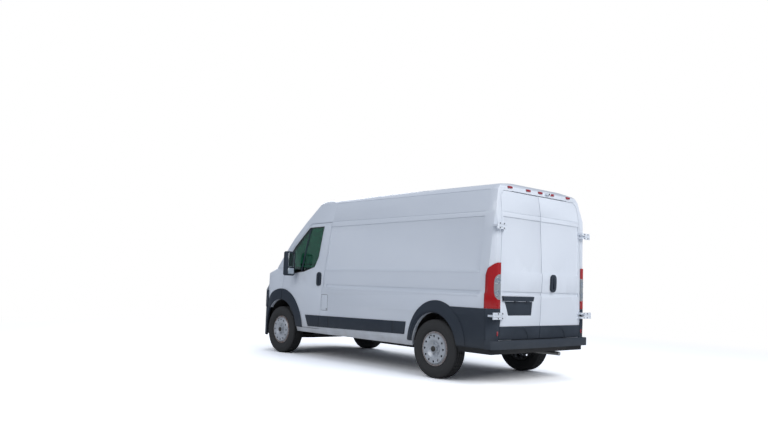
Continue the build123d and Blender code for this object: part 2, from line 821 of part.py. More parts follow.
body_ahead = side_prism(((-2500, 0), (-2500, 2000), (3000, 2000), (3000, 0)), -reach, reach)
with BuildPart() as rear_door_trim_left:
    add(cut_out(cladding_skin.part, [leaf_trim_region, leaf_half_space[1], tail_region],
                [cladding_humps.part]))
    add(cut_out(handle_outer, [plate_shape.part], [outer, body_ahead]))
    add(cut_out(groove_floor, [plate_field.part], [press_floor, body_ahead]))
write_piece(rear_door_trim_left, "rear_door_trim_left")
with BuildPart() as rear_door_trim_right:
    add(cut_out(cladding_skin.part, [leaf_trim_region, leaf_half_space[-1], tail_region],
                [cladding_humps.part]))
    add(cut_out(handle_outer, [leaf_handle.part], [outer, body_ahead]))
write_piece(rear_door_trim_right, "rear_door_trim_right")

# Cab doors with glass, trim and mirror
with BuildPart() as cab_door_left:
    add(cut_out(shell.part, [door_region], [front_arch[1], window_region]))
write_piece(cab_door_left, "cab_door_left")
with BuildPart() as cab_door_right:
    mirror(cab_door_left.part, about=Plane.XZ)
write_piece(cab_door_right, "cab_door_right")
with BuildPart() as cab_door_glass_left:
    add(cut_out(glass_skin.part, [window_region], []))
write_piece(cab_door_glass_left, "cab_door_glass_left")
with BuildPart() as cab_door_glass_right:
    mirror(cab_door_glass_left.part, about=Plane.XZ)
write_piece(cab_door_glass_right, "cab_door_glass_right")
with BuildPart() as handle_prism:
    with BuildSketch(Plane.XZ.offset(-600)):
        with Locations((handle_x, handle_z)):
            SlotOverall(handle_height, handle_width, rotation=90)
    extrude(amount=-reach)
with BuildPart() as cab_door_trim_left:
    add(cut_out(lip_solid, [door_region, door_trim_blank.part], [front_arch[1], sill_cut]))
    add(cut_out(handle_outer, [handle_prism.part], [outer]))
write_piece(cab_door_trim_left, "cab_door_trim_left")
with BuildPart() as cab_door_trim_right:
    mirror(cab_door_trim_left.part, about=Plane.XZ)
write_piece(cab_door_trim_right, "cab_door_trim_right")
with BuildPart() as mirror_left:
    with BuildSketch(Plane.XY.offset(mirror_low_z)):
        with Locations((mirror_x, (mirror_inner_y + mirror_outer_y) / 2)):
            RectangleRounded(mirror_depth, mirror_outer_y - mirror_inner_y, 40)
    extrude(amount=mirror_height)
    chamfer(mirror_left.faces().filter_by(Axis.Z).edges(), 18)
    with BuildSketch(Plane.XY.offset(mirror_low_z + 40)):
        with BuildLine():
            Polyline((mirror_x - 30, mirror_inner_y + 10), (1680, 880), (1780, 880),
                     (mirror_x + 50, mirror_inner_y + 30), close=True)
        make_face()
    extrude(amount=70)
    add(outer, mode=Mode.SUBTRACT)
write_piece(mirror_left, "mirror_left")
with BuildPart() as mirror_right:
    mirror(mirror_left.part, about=Plane.XZ)
write_piece(mirror_right, "mirror_right")

# Rubber seals that the closed doors and bonnet bear on
seal_outer = body_form(wall + seal_play)
seal_inner = body_form(wall + seal_play + seal_depth)
with BuildPart() as seal_skin:
    add(seal_outer)
    add(seal_inner, mode=Mode.SUBTRACT)
with BuildPart() as door_seals:
    add(cut_out(seal_skin.part, [side_prism(door_outline, 600, reach, seal_lap)],
                [side_prism(door_outline, 600, reach, -seal_lap),
                 arch_prism(front_axle_x, arch_front_half + 12, arch_front_rise + 12, 500, reach)]))
    mirror(about=Plane.XZ)
    add(cut_out(seal_skin.part, [side_prism(slider_outline, -600, -reach, seal_lap)],
                [side_prism(slider_outline, -600, -reach, -seal_lap)]))
    add(cut_out(seal_skin.part, [plan_prism(bonnet_edge, bonnet_front_z - 20, 1420, seal_lap)],
                [plan_prism(bonnet_edge, bonnet_front_z, 1420, -seal_lap)]))
write_piece(door_seals, "door_seals")

# Floor, wheel houses, bulkhead, sills and rails
with BuildPart() as underbody_blank:
    with BuildSketch(Plane.XY.offset(floor_bottom)):
        with BuildLine():
            Polyline((floor_rear_x, -reach), (cab_floor_x, -reach), (cab_floor_x, -wheelhouse_inner_y + 1),
                     (bulkhead_x + 5, -wheelhouse_inner_y + 1),
                     (bulkhead_x + 5, wheelhouse_inner_y - 1), (cab_floor_x, wheelhouse_inner_y - 1),
                     (cab_floor_x, reach), (floor_rear_x, reach), close=True)
        make_face()
    extrude(amount=floor_thickness)
    for side in (1, -1):
        add(arch_prism(rear_axle_x, arch_rear_half + wheelhouse_plate, arch_rear_rise + wheelhouse_plate,
                       side * (rear_wheelhouse_inner_y - wheelhouse_plate), side * reach))
        add(arch_prism(front_axle_x, arch_front_half + wheelhouse_plate, arch_front_rise + wheelhouse_plate,
                       side * (wheelhouse_inner_y - wheelhouse_plate), side * reach))
        with Locations(((floor_rear_x + cab_floor_x) / 2, side * rail_y, floor_bottom)):
            Box(cab_floor_x - floor_rear_x, rail_width, rail_height,
                align=(Align.CENTER, Align.CENTER, Align.MAX))
        with Locations(((-1250 + cab_floor_x) / 2, side * 935, floor_bottom)):
            Box(cab_floor_x + 1250, 160, 100, align=(Align.CENTER, Align.CENTER, Align.MAX))
    with Locations((bulkhead_x, 0, 430)):
        Box(bulkhead_thickness, 2 * reach, 870, align=(Align.MIN, Align.CENTER, Align.MIN))
    with Locations([(x, 0, floor_bottom) for x in (-2300, -1000, 400, 1050)]):
        Box(60, 2 * rail_y, 45, align=(Align.CENTER, Align.CENTER, Align.MAX))
with BuildPart() as bumper_beam:
    with Locations((2520, 0, 552)):
        Box(200, 1000, 80, align=(Align.MIN, Align.CENTER, Align.MIN))
    add(bumper_form(bumper_wall), mode=Mode.INTERSECT)
with BuildPart() as underbody:
    add(underbody_blank.part)
    add(inner, mode=Mode.INTERSECT)
    for side in (1, -1):
        add(rear_arch[side], mode=Mode.SUBTRACT)
        add(front_arch[side], mode=Mode.SUBTRACT)
    add(plan_prism(((-3000, -2000), (3000, -2000), (3000, 2000), (-3000, 2000)), -100, body_bottom),
        mode=Mode.SUBTRACT)
    add(cut_out(shell.part,
                [side_prism(((-2800, 300), (-2800, 548), (floor_rear_x + 20, 548),
                             (floor_rear_x + 20, 300)), -600, 600)], []))
    with Locations(((floor_rear_x + 15 + floor_board_front_x) / 2, 0, floor_top)):
        Box(floor_board_front_x - floor_rear_x - 15, 2 * floor_board_half, floor_board,
            align=(Align.CENTER, Align.CENTER, Align.MIN))
    for side in (1, -1):
        with Locations((rear_axle_x, side * rear_wheelhouse_inner_y, body_bottom)):
            Box(240, 60, 90, align=(Align.CENTER, Align.CENTER, Align.MIN), mode=Mode.SUBTRACT)
        with Locations((bulkhead_x + bulkhead_thickness, side * 435, 480)):
            Box(560, 70, 90, align=(Align.MIN, Align.CENTER, Align.MIN))
    add(bumper_beam.part)
    add(door_seals.part, mode=Mode.SUBTRACT)
write_piece(underbody, "underbody")


# Running gear
with BuildPart() as strut:
    with Locations([(front_axle_x, side * strut_y, subframe_z + 20) for side in (1, -1)]):
        Cylinder(strut_radius, strut_top_z - subframe_z, align=(Align.CENTER, Align.CENTER, Align.MIN))
with BuildPart() as front_subframe:
    with BuildSketch(Plane.XY.offset(subframe_z)):
        with BuildLine():
            Polyline((1620, -430), (2330, -430), (2330, 430), (1620, 430), close=True)
        make_face()
        with Locations((1975, 0)):
            Rectangle(430, 560, mode=Mode.SUBTRACT)
        for side in (1, -1):
            with BuildLine():
                Polyline((front_axle_x - 140, side * 425), (front_axle_x - 34, side * kingpin_y),
                         (front_axle_x + 34, side * kingpin_y),
                         (front_axle_x + 140, side * 425), close=True)
            make_face()
            with Locations((front_axle_x, side * kingpin_y)):
                Circle(38)
    extrude(amount=subframe_height)
    for side in (1, -1):
        with Locations((front_axle_x, side * kingpin_y, subframe_z + subframe_height)):
            Cylinder(ball_pin_radius, ball_pin_height, align=(Align.CENTER, Align.CENTER, Align.MIN))
        for post_x, post_top in ((1660, floor_bottom), (2290, body_rail_z)):
            with Locations((post_x, side * 405, subframe_z + subframe_height)):
                Box(50, 50, post_top - subframe_z - subframe_height,
                    align=(Align.CENTER, Align.CENTER, Align.MIN))
        add(cut_out(strut.part, [front_arch[side]], []))
write_piece(front_subframe, "front_subframe")

with BuildPart() as engine_block:
    with Locations((2215, -60, subframe_z + subframe_height)):
        Box(430, 600, 620, align=(Align.CENTER, Align.CENTER, Align.MIN))
    chamfer(engine_block.edges().filter_by(Axis.Z), 40)
write_piece(engine_block, "engine_block")

for side, name in ((1, "left"), (-1, "right")):
    with BuildPart() as knuckle:
        with Locations((front_axle_x, side * kingpin_y, subframe_z + subframe_height + 2)):
            Cylinder(30, 120, align=(Align.CENTER, Align.CENTER, Align.MIN))
        with BuildSketch(Plane.XZ.offset(-side * (kingpin_y - 30))):
            with Locations((front_axle_x, wheel_radius)):
                Circle(62)
        extrude(amount=-side * 60)
        with BuildSketch(Plane.XZ.offset(-side * (kingpin_y - 30))):
            with Locations((front_axle_x, wheel_radius)):
                Circle(spindle_radius)
        extrude(amount=-side * (front_track / 2 + disc_offset + spindle_out - kingpin_y + 30))
        with Locations((front_axle_x, side * kingpin_y, subframe_z + subframe_height + 2)):
            Cylinder(ball_pin_radius + pin_fit, 64, align=(Align.CENTER, Align.CENTER, Align.MIN),
                     mode=Mode.SUBTRACT)
    write_piece(knuckle, f"knuckle_{name}")

with BuildPart() as rear_axle:
    with BuildSketch(Plane.XZ.offset(-(rear_track / 2 + disc_offset + spindle_out))):
        with Locations((rear_axle_x, wheel_radius)):
            Circle(spindle_radius)
    extrude(amount=rear_track + 2 * (disc_offset + spindle_out))
    with BuildSketch(Plane.XZ.offset(-axle_beam_half)):
        with Locations((rear_axle_x, wheel_radius)):
            Circle(axle_beam_radius)
    extrude(amount=2 * axle_beam_half)
    for side in (1, -1):
        with BuildSketch(Plane.XZ.offset(-side * spring_y + 35)):
            with BuildLine():
                ThreePointArc((spring_rear_x, spring_eye_z), (rear_axle_x, spring_seat_z),
                              (spring_front_x, spring_eye_z))
                Line((spring_front_x, spring_eye_z), (spring_front_x, spring_eye_z + spring_thickness))
                ThreePointArc((spring_front_x, spring_eye_z + spring_thickness),
                              (rear_axle_x, spring_seat_z + spring_thickness),
                              (spring_rear_x, spring_eye_z + spring_thickness))
                Line((spring_rear_x, spring_eye_z + spring_thickness), (spring_rear_x, spring_eye_z))
            make_face()
        extrude(amount=-70)
        with Locations((rear_axle_x, side * spring_y, wheel_radius + 20)):
            Box(120, 90, spring_seat_z - wheel_radius - 12, align=(Align.CENTER, Align.CENTER, Align.MIN))
        with Locations([(spring_front_x - 25, side * spring_y, floor_bottom),
                        (spring_rear_x + 25, side * spring_y, floor_bottom)]):
            Box(50, 60, floor_bottom - spring_eye_z - 6, align=(Align.CENTER, Align.CENTER, Align.MAX))
write_piece(rear_axle, "rear_axle")

with BuildPart() as exhaust:
    with BuildLine():
        FilletPolyline(
            (2000, -250, exhaust_z + 45),
            (1450, -250, exhaust_z + 45),
            (1150, exhaust_y, exhaust_z),
            (-1760, exhaust_y, exhaust_z),
            (-2120, exhaust_y, exhaust_z + 45),
            (-2620, exhaust_y, exhaust_z + 45),
            radius=120,
        )
    with BuildSketch(Plane(origin=(2000, -250, exhaust_z + 45), z_dir=(-1, 0, 0))):
        Circle(26)
    sweep()
    with Locations((-500, exhaust_y, exhaust_z)):
        Cylinder(88, 620, rotation=(0, 90, 0))
    for hanger_x, hanger_z in ((900, exhaust_z), (-900, exhaust_z), (-2350, exhaust_z + 45)):
        with Locations((hanger_x, exhaust_y, hanger_z)):
            Box(16, 30, floor_bottom - hanger_z, align=(Align.CENTER, Align.CENTER, Align.MIN))
write_piece(exhaust, "exhaust")

with BuildPart() as fuel_tank:
    with Locations((-350, 260, 290)):
        Box(950, 400, floor_bottom - 290, align=(Align.CENTER, Align.CENTER, Align.MIN))
    fillet(fuel_tank.edges().filter_by(Axis.Z), 60)
write_piece(fuel_tank, "fuel_tank")

# Wheels: pressed steel disc and barrel with the brake disc, and the tyre
with BuildPart() as rim_pattern:
    with BuildSketch(Plane.XZ):
        with BuildLine():
            Polyline(
                (spindle_radius + pin_fit, 0),
                (86, 0),
                (120, 22),
                (178, 22),
                (rim_bead_radius - 6, 5),
                (rim_bead_radius - 6, rim_inner_w),
                (rim_flange_radius, rim_inner_w),
                (rim_flange_radius, rim_inner_w + rim_flange),
                (rim_bead_radius, rim_inner_w + rim_flange + rim_slope),
                (rim_bead_radius, rim_outer_w - rim_flange - rim_slope),
                (rim_flange_radius, rim_outer_w - rim_flange),
                (rim_flange_radius, rim_outer_w),
                (rim_bead_radius - 4, rim_outer_w),
                (184, 32),
                (116, 32),
                (80, 10),
                (spindle_radius + pin_fit, 10),
                close=True,
            )
        make_face()
    revolve(axis=Axis.Z)
    with PolarLocations(160, vent_count):
        Hole(vent_radius)
    with BuildSketch(Plane.XY.offset(10)):
        with PolarLocations(lug_circle / 2, 5):
            RegularPolygon(15, 6)
    extrude(amount=16)
    with BuildSketch(Plane.XZ):
        with BuildLine():
            Polyline((spindle_radius + 1, 0), (80, 0), (80, -45), (140, -45), (140, -67),
                     (spindle_radius + 1, -67),
                     close=True)
        make_face()
    revolve(axis=Axis.Z)
    with Locations((0, 0, spindle_out + 2)):
        Cylinder(cap_radius, 12, align=(Align.CENTER, Align.CENTER, Align.MIN))
    with BuildSketch(Plane.XY.offset(10)):
        Circle(cap_radius)
        Circle(cap_radius - 8, mode=Mode.SUBTRACT)
    extrude(amount=spindle_out - 8)
with BuildPart() as tyre_pattern:
    tyre_inner_w = -disc_offset - tyre_width / 2
    tyre_outer_w = -disc_offset + tyre_width / 2
    bead = rim_bead_radius + 0.2
    lip = rim_flange_radius + 0.5
    with BuildSketch(Plane.XZ):
        with BuildLine():
            Polyline(
                (bead, rim_inner_w + rim_flange + rim_slope + bead_fit),
                (lip, rim_inner_w + rim_flange + bead_fit),
                (rim_flange_radius + bead_rise, tyre_inner_w + bead_lean),
                (wheel_radius - belly_drop, tyre_inner_w),
                (wheel_radius - shoulder_drop, tyre_inner_w + shoulder_lean),
                (wheel_radius, tyre_inner_w + shoulder_width),
                (wheel_radius, tyre_outer_w - shoulder_width),
                (wheel_radius - shoulder_drop, tyre_outer_w - shoulder_lean),
                (wheel_radius - belly_drop, tyre_outer_w),
                (rim_flange_radius + bead_rise, tyre_outer_w - bead_lean),
                (lip, rim_outer_w - rim_flange - bead_fit),
                (bead, rim_outer_w - rim_flange - rim_slope - bead_fit),
                close=True,
            )
        make_face()
    revolve(axis=Axis.Z)
for corner, axle_x, track, side in (("front_left", front_axle_x, front_track, 1),
                                    ("front_right", front_axle_x, front_track, -1),
                                    ("rear_left", rear_axle_x, rear_track, 1),
                                    ("rear_right", rear_axle_x, rear_track, -1)):
    wheel_plane = Plane(origin=(axle_x, side * (track / 2 + disc_offset), wheel_radius), x_dir=(1, 0, 0),
                        z_dir=(0, side, 0))
    with BuildPart() as rim:
        add(wheel_plane.from_local_coords(rim_pattern.part))
    write_piece(rim, f"rim_{corner}")
    with BuildPart() as tyre:
        add(wheel_plane.from_local_coords(tyre_pattern.part))
    write_piece(tyre, f"tyre_{corner}")

# Cab fittings
with BuildPart() as seats:
    for seat_y, seat_width in ((seat_offset, 500), (-seat_offset, 500)):
        with Locations((seat_x, seat_y, floor_top)):
            Box(460, seat_width - 60, 300, align=(Align.CENTER, Align.CENTER, Align.MIN))
        with Locations((seat_x + 20, seat_y, floor_top + 300)):
            Box(540, seat_width, 130, align=(Align.CENTER, Align.CENTER, Align.MIN))
        with BuildSketch(Plane.XZ.offset(-seat_y - seat_width / 2)):
            with BuildLine():
                Polyline((seat_x - 150, floor_top + 430), (seat_x - 280, floor_top + 430),
                         (seat_x - 420, floor_top + 1060),
                         (seat_x - 320, floor_top + 1080), close=True)
            make_face()
        extrude(amount=seat_width)
        with Locations(Location((seat_x - 390, seat_y, floor_top + 1160), (0, -12, 0))):
            Box(80, 260, 240)
write_piece(seats, "seats")

with BuildPart() as dashboard:
    with BuildSketch(Plane.XZ.offset(-880)):
        with BuildLine():
            Polyline((1620, 1180), (1700, 1290), (bulkhead_x, 1290), (bulkhead_x, 900), (1760, 900),
                     (1650, 1000), close=True)
        make_face()
    extrude(amount=1760)
    add(body_form(wall + 30), mode=Mode.INTERSECT)
    wheel_tilt = Plane(origin=(1470, seat_offset, 1215), x_dir=(0, 1, 0), z_dir=(-0.72, 0, 0.69))
    with BuildSketch(wheel_tilt):
        Circle(195)
        Circle(168, mode=Mode.SUBTRACT)
        Rectangle(350, 40)
        Circle(60)
    extrude(amount=24)
    with BuildSketch(wheel_tilt):
        Circle(32)
    extrude(amount=-280)
write_piece(dashboard, "dashboard")
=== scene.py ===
"""Light delivery van: finishes, lights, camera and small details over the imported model.

Metres, +X forward, +Y to the van's left, +Z up, with the origin on the ground at half the length.
"""
from __future__ import annotations

import json
import logging
import math
from dataclasses import dataclass
from enum import Enum
from typing import Callable, Sequence

import bmesh
import bpy
from mathutils import Matrix, Vector

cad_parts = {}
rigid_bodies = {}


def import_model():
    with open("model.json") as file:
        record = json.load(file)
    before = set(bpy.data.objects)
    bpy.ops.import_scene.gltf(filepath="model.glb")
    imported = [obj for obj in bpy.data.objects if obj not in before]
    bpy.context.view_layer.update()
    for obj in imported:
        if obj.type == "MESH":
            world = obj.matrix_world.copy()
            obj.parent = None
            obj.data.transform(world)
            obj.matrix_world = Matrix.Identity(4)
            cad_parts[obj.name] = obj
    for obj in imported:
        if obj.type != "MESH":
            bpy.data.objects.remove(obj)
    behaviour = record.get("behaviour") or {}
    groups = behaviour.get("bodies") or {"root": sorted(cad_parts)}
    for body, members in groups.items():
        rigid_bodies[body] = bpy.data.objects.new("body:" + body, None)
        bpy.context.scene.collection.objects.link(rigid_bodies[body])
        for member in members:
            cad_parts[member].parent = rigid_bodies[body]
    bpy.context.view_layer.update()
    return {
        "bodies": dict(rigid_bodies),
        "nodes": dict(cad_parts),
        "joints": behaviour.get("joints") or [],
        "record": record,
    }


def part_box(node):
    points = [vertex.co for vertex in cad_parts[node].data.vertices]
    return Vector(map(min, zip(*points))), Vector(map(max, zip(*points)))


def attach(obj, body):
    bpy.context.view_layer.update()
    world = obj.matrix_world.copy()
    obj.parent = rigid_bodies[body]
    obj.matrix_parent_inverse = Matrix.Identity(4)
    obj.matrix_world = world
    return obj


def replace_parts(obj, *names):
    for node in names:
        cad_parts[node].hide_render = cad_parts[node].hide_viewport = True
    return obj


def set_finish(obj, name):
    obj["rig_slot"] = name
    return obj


log = logging.getLogger("van")
Piece = bpy.types.Object
Socket = bpy.types.NodeSocket
Colour = tuple[float, float, float, float]
Point = tuple[float, float, float]
Pair = tuple[float, float]
FaceTest = Callable[[Vector, Vector], bool]

MM = 0.001
MIRROR = Matrix.Diagonal((1, -1, 1, 1))
# cosine from which a face counts as looking along a direction
LOOKS = 0.9
# distances from the middle at which rays and flat strips start, beside the van and past its ends
BESIDE = 1.2
FAR = 3.2
# direction that the windscreen faces
SCREEN_OUT = (0.75, 0, 0.65)
# cosine under which a face of a pane belongs to its edge or its inside
EDGE_LOOKS = 0.35
# degrees between faces from which a small part's edge is rounded, and from which it is shaded sharp
ROUND_FROM = 32
SHARP_FROM = 34


class Body(str, Enum):
    """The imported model's rigid bodies that carry small parts."""

    CHASSIS = "chassis"
    CAB_DOOR_LEFT = "cab_door_left"
    CAB_DOOR_RIGHT = "cab_door_right"
    REAR_DOOR_LEFT = "rear_door_left"
    REAR_DOOR_RIGHT = "rear_door_right"
    WHEEL_FRONT_LEFT = "wheel_front_left"
    WHEEL_FRONT_RIGHT = "wheel_front_right"
    WHEEL_REAR_LEFT = "wheel_rear_left"
    WHEEL_REAR_RIGHT = "wheel_rear_right"


SIDES = ((1, "left"), (-1, "right"))
CAB_DOORS = ((1, "left", Body.CAB_DOOR_LEFT), (-1, "right", Body.CAB_DOOR_RIGHT))
REAR_DOORS = ((1, "left", Body.REAR_DOOR_LEFT), (-1, "right", Body.REAR_DOOR_RIGHT))
WHEELS = (("front_left", Body.WHEEL_FRONT_LEFT), ("front_right", Body.WHEEL_FRONT_RIGHT),
          ("rear_left", Body.WHEEL_REAR_LEFT), ("rear_right", Body.WHEEL_REAR_RIGHT))


def linear(code: str) -> Colour:
    """Turn an sRGB hex colour into the linear values that a shader takes.

    Args:
        code: a hash and six hex digits.

    Returns:
        Linear red, green, blue and an alpha of 1.
    """
    values = [int(code[at:at + 2], 16) / 255 for at in (1, 3, 5)]
    return (*[v / 12.92 if v <= 0.04045 else ((v + 0.055) / 1.055) ** 2.4 for v in values], 1.0)


class Graph:
    """A node tree, with a short call for each kind of node that is used often."""

    def __init__(self, tree: bpy.types.NodeTree) -> None:
        """Take the tree that the nodes join."""
        self.tree = tree

    def feed(self, node: bpy.types.Node, inputs: dict) -> None:
        """Give each input, by name or number, its constant or the socket that feeds it."""
        for key, value in inputs.items():
            if isinstance(value, Socket):
                self.tree.links.new(value, node.inputs[key])
            else:
                node.inputs[key].default_value = value

    def node(self, kind: str, inputs: dict | None = None, **settings: object) -> bpy.types.Node:
        """Add one node.

        Args:
            kind: the node's type name.
            inputs: what each input takes.
            settings: its attributes, set before the inputs.

        Returns:
            The new node.
        """
        made = self.tree.nodes.new(kind)
        for key, value in settings.items():
            setattr(made, key, value)
        self.feed(made, inputs or {})
        return made

    def sum(self, operation: str, *values: float | Socket) -> Socket:
        """Work out one operation on numbers."""
        return self.node("ShaderNodeMath", dict(enumerate(values)), operation=operation).outputs[0]

    def vector(self, operation: str, *values: Point | Socket) -> Sequence[Socket]:
        """Work out one operation on vectors: its vector, then its value."""
        return self.node("ShaderNodeVectorMath", dict(enumerate(values)), operation=operation).outputs

    def axes(self, place: Socket) -> Sequence[Socket]:
        """X, Y and Z of a place."""
        return self.node("ShaderNodeSeparateXYZ", {"Vector": place}).outputs

    def noise(self, place: Socket, scale: float, detail: float, roughness: float = 0.5) -> Socket:
        """Fractal noise over a place."""
        inputs = {"Vector": place, "Scale": scale, "Detail": detail, "Roughness": roughness}
        return self.node("ShaderNodeTexNoise", inputs).outputs["Fac"]

    def ramp(self, value: Socket, to: Pair, over: Pair = (0.0, 1.0), soft: bool = False) -> Socket:
        """Map a value onto a range, held beyond its ends.

        Args:
            value: the number to map.
            to: what it becomes at both ends.
            over: where both ends lie.
            soft: ease in and out.

        Returns:
            The mapped number.
        """
        inputs = {"Value": value, "From Min": over[0], "From Max": over[1], "To Min": to[0], "To Max": to[1]}
        return self.node("ShaderNodeMapRange", inputs,
                         interpolation_type="SMOOTHSTEP" if soft else "LINEAR").outputs["Result"]

    def mix(self, share: Socket, first: Colour | Socket, second: Colour | Socket) -> Socket:
        """Blend two colours."""
        return self.node("ShaderNodeMix", {"Factor": share, 6: first, 7: second}, data_type="RGBA").outputs[2]


class Grain(Enum):
    """How a surface was made, which decides the pattern of its relief."""

    NOISE = "noise"
    CELLS = "cells"
    WEAVE = "weave"
    TURNED = "turned"


@dataclass(frozen=True)
class Finish:
    """One surface finish: pattern sizes in millimetres, heights in metres, patches and marks per metre."""

    name: str
    base: str
    roughness: float
    metallic: float = 0.0
    ior: float = 1.5
    coat: float = 0.0
    coat_roughness: float = 0.04
    sheen: float = 0.0
    transmission: float = 0.0
    grain: Grain = Grain.NOISE
    grain_mm: float = 2.0
    relief_mm: float = 0.02
    tint: str = ""
    tint_mm: float = 120.0
    wear: float = 0.06
    dust: float = 0.0
    dust_foot: float = 0.25
    dust_top: float = 1.1
    dust_colour: str = "#8b8378"
    dust_patches: float = 5.0
    marks: float = 9.0

    def material(self) -> bpy.types.Material:
        """Build the material once and return it."""
        made = bpy.data.materials.get(self.name)
        if made:
            return made
        made = bpy.data.materials.new(self.name)
        made.use_nodes = True
        graph = Graph(made.node_tree)
        place = self.coordinates(graph)
        graph.feed(made.node_tree.nodes["Principled BSDF"], {
            "Base Color": self.colour(graph, place), "Roughness": self.gloss(graph, place),
            "Normal": self.relief(graph, place), "Coat Weight": self.lacquer(graph, place),
            "Coat Roughness": self.coat_roughness, "Metallic": self.metallic, "IOR": self.ior,
            "Sheen Weight": self.sheen, "Transmission Weight": self.transmission})
        return made

    def coordinates(self, graph: Graph) -> Socket:
        """Place on the object that the patterns follow."""
        return graph.node("ShaderNodeTexCoord").outputs["Object"]

    def lacquer(self, graph: Graph, place: Socket) -> float | Socket:
        """Weight of the clear coat."""
        return self.coat

    def colour(self, graph: Graph, place: Socket) -> Socket:
        """Base colour with its slow variation and the road dust that gathers low down.

        Args:
            graph: the material's nodes.
            place: the coordinates that the patterns follow.

        Returns:
            The colour socket.
        """
        shown = graph.mix(graph.noise(place, 1000 / self.tint_mm, 4.0), linear(self.base),
                          linear(self.tint or self.base))
        if not self.dust:
            return shown
        low = graph.ramp(graph.axes(place)[2], (0.0, self.dust), (self.dust_top, self.dust_foot), soft=True)
        amount = graph.sum("MULTIPLY", low, graph.noise(place, self.dust_patches, 6.0, 0.6))
        return graph.mix(amount, shown, linear(self.dust_colour))

    def gloss(self, graph: Graph, place: Socket) -> Socket:
        """Roughness with the handling marks and wear of a used surface."""
        ends = (max(0.0, self.roughness - self.wear), self.roughness + self.wear)
        return graph.ramp(graph.noise(place, self.marks, 5.0), ends)

    def relief(self, graph: Graph, place: Socket) -> Socket:
        """Bump of the surface's own grain."""
        scale = 1000 / self.grain_mm
        if self.grain is Grain.CELLS:
            height = graph.node("ShaderNodeTexVoronoi", {"Vector": place, "Scale": scale}).outputs["Distance"]
        elif self.grain is Grain.WEAVE:
            height = self.weave(graph, place, scale)
        elif self.grain is Grain.TURNED:
            height = graph.node("ShaderNodeTexWave", {"Vector": place, "Scale": scale / 6.28, "Distortion": 0.4},
                                wave_type="RINGS", rings_direction="Y").outputs["Fac"]
        else:
            height = graph.noise(place, scale, 2.0)
        inputs = {"Height": height, "Strength": 1.0, "Distance": self.relief_mm * MM}
        return graph.node("ShaderNodeBump", inputs).outputs["Normal"]

    @staticmethod
    def weave(graph: Graph, place: Socket, threads: float) -> Socket:
        """Over-and-under threads on all three axes.

        Args:
            graph: the material's nodes.
            place: the coordinates that the threads follow.
            threads: how many lie in a metre.

        Returns:
            The height socket.
        """
        total = None
        for axis in graph.axes(place):
            wave = graph.sum("SINE", graph.sum("MULTIPLY", axis, threads * math.pi))
            total = wave if total is None else graph.sum("MULTIPLY_ADD", wave, 0.6, total)
        return total


@dataclass(frozen=True)
class LampLens(Finish):
    """Moulded acrylic tail lamp: red outside and at both ends, clear over the lamp bowls."""

    clear: str = "#8f9397"
    inner_y: float = 0.871
    field_half: float = 0.092
    field_z: float = 1.187
    field_rise: float = 0.152
    squareness: float = 3.5

    def colour(self, graph: Graph, place: Socket) -> Socket:
        """Red, with a rounded clear field against the lamp's inner edge."""
        _, y, z = graph.axes(place)
        terms = []
        for value, middle, half in ((graph.sum("ABSOLUTE", y), self.inner_y, self.field_half),
                                    (z, self.field_z, self.field_rise)):
            share = graph.sum("ABSOLUTE", graph.sum("MULTIPLY_ADD", value, 1 / half, -middle / half))
            terms.append(graph.sum("POWER", share, self.squareness))
        field = graph.sum("LESS_THAN", graph.sum("ADD", *terms), 1.0)
        return graph.mix(field, linear(self.base), linear(self.clear))


@dataclass(frozen=True)
class BodyEnamel(Finish):
    """Body paint, left off where black wax or the bumper's dark skin covers the panels."""

    # colour, sign and place along X, and the height under which it starts
    covers: tuple[tuple[str, float, float, float], ...] = (
        ("#17181a", -1.0, 1.7, 0.535), ("#212b37", 1.0, 2.215, 0.996))
    skin_roughness: float = 0.6

    def mask(self, graph: Graph, place: Socket, cover: tuple[str, float, float, float]) -> Socket:
        """One where a cover lies, or else nothing.

        Args:
            graph: the material's nodes.
            place: coordinates in the van's frame.
            cover: its colour, sign along X, start and top.

        Returns:
            The mask socket.
        """
        _, sign, start, top = cover
        x, _, z = graph.axes(place)
        past = graph.sum("GREATER_THAN", graph.sum("MULTIPLY", x, sign), start)
        return graph.sum("MULTIPLY", graph.sum("LESS_THAN", z, top), past)

    def lacquer(self, graph: Graph, place: Socket) -> Socket:
        """Clear coat that ends where a cover starts."""
        bare = graph.sum("ADD", *[self.mask(graph, place, cover) for cover in self.covers])
        return graph.ramp(bare, (self.coat, 0.0))

    def colour(self, graph: Graph, place: Socket) -> Socket:
        """Paint and dust, with each cover's own colour over them."""
        shown = super().colour(graph, place)
        for cover in self.covers:
            shown = graph.mix(self.mask(graph, place, cover), shown, linear(cover[0]))
        return shown

    def gloss(self, graph: Graph, place: Socket) -> Socket:
        """Matt where a cover lies."""
        shown = super().gloss(graph, place)
        for cover in self.covers:
            inputs = {"Factor": self.mask(graph, place, cover), 2: shown, 3: self.skin_roughness}
            shown = graph.node("ShaderNodeMix", inputs, data_type="FLOAT").outputs[0]
        return shown


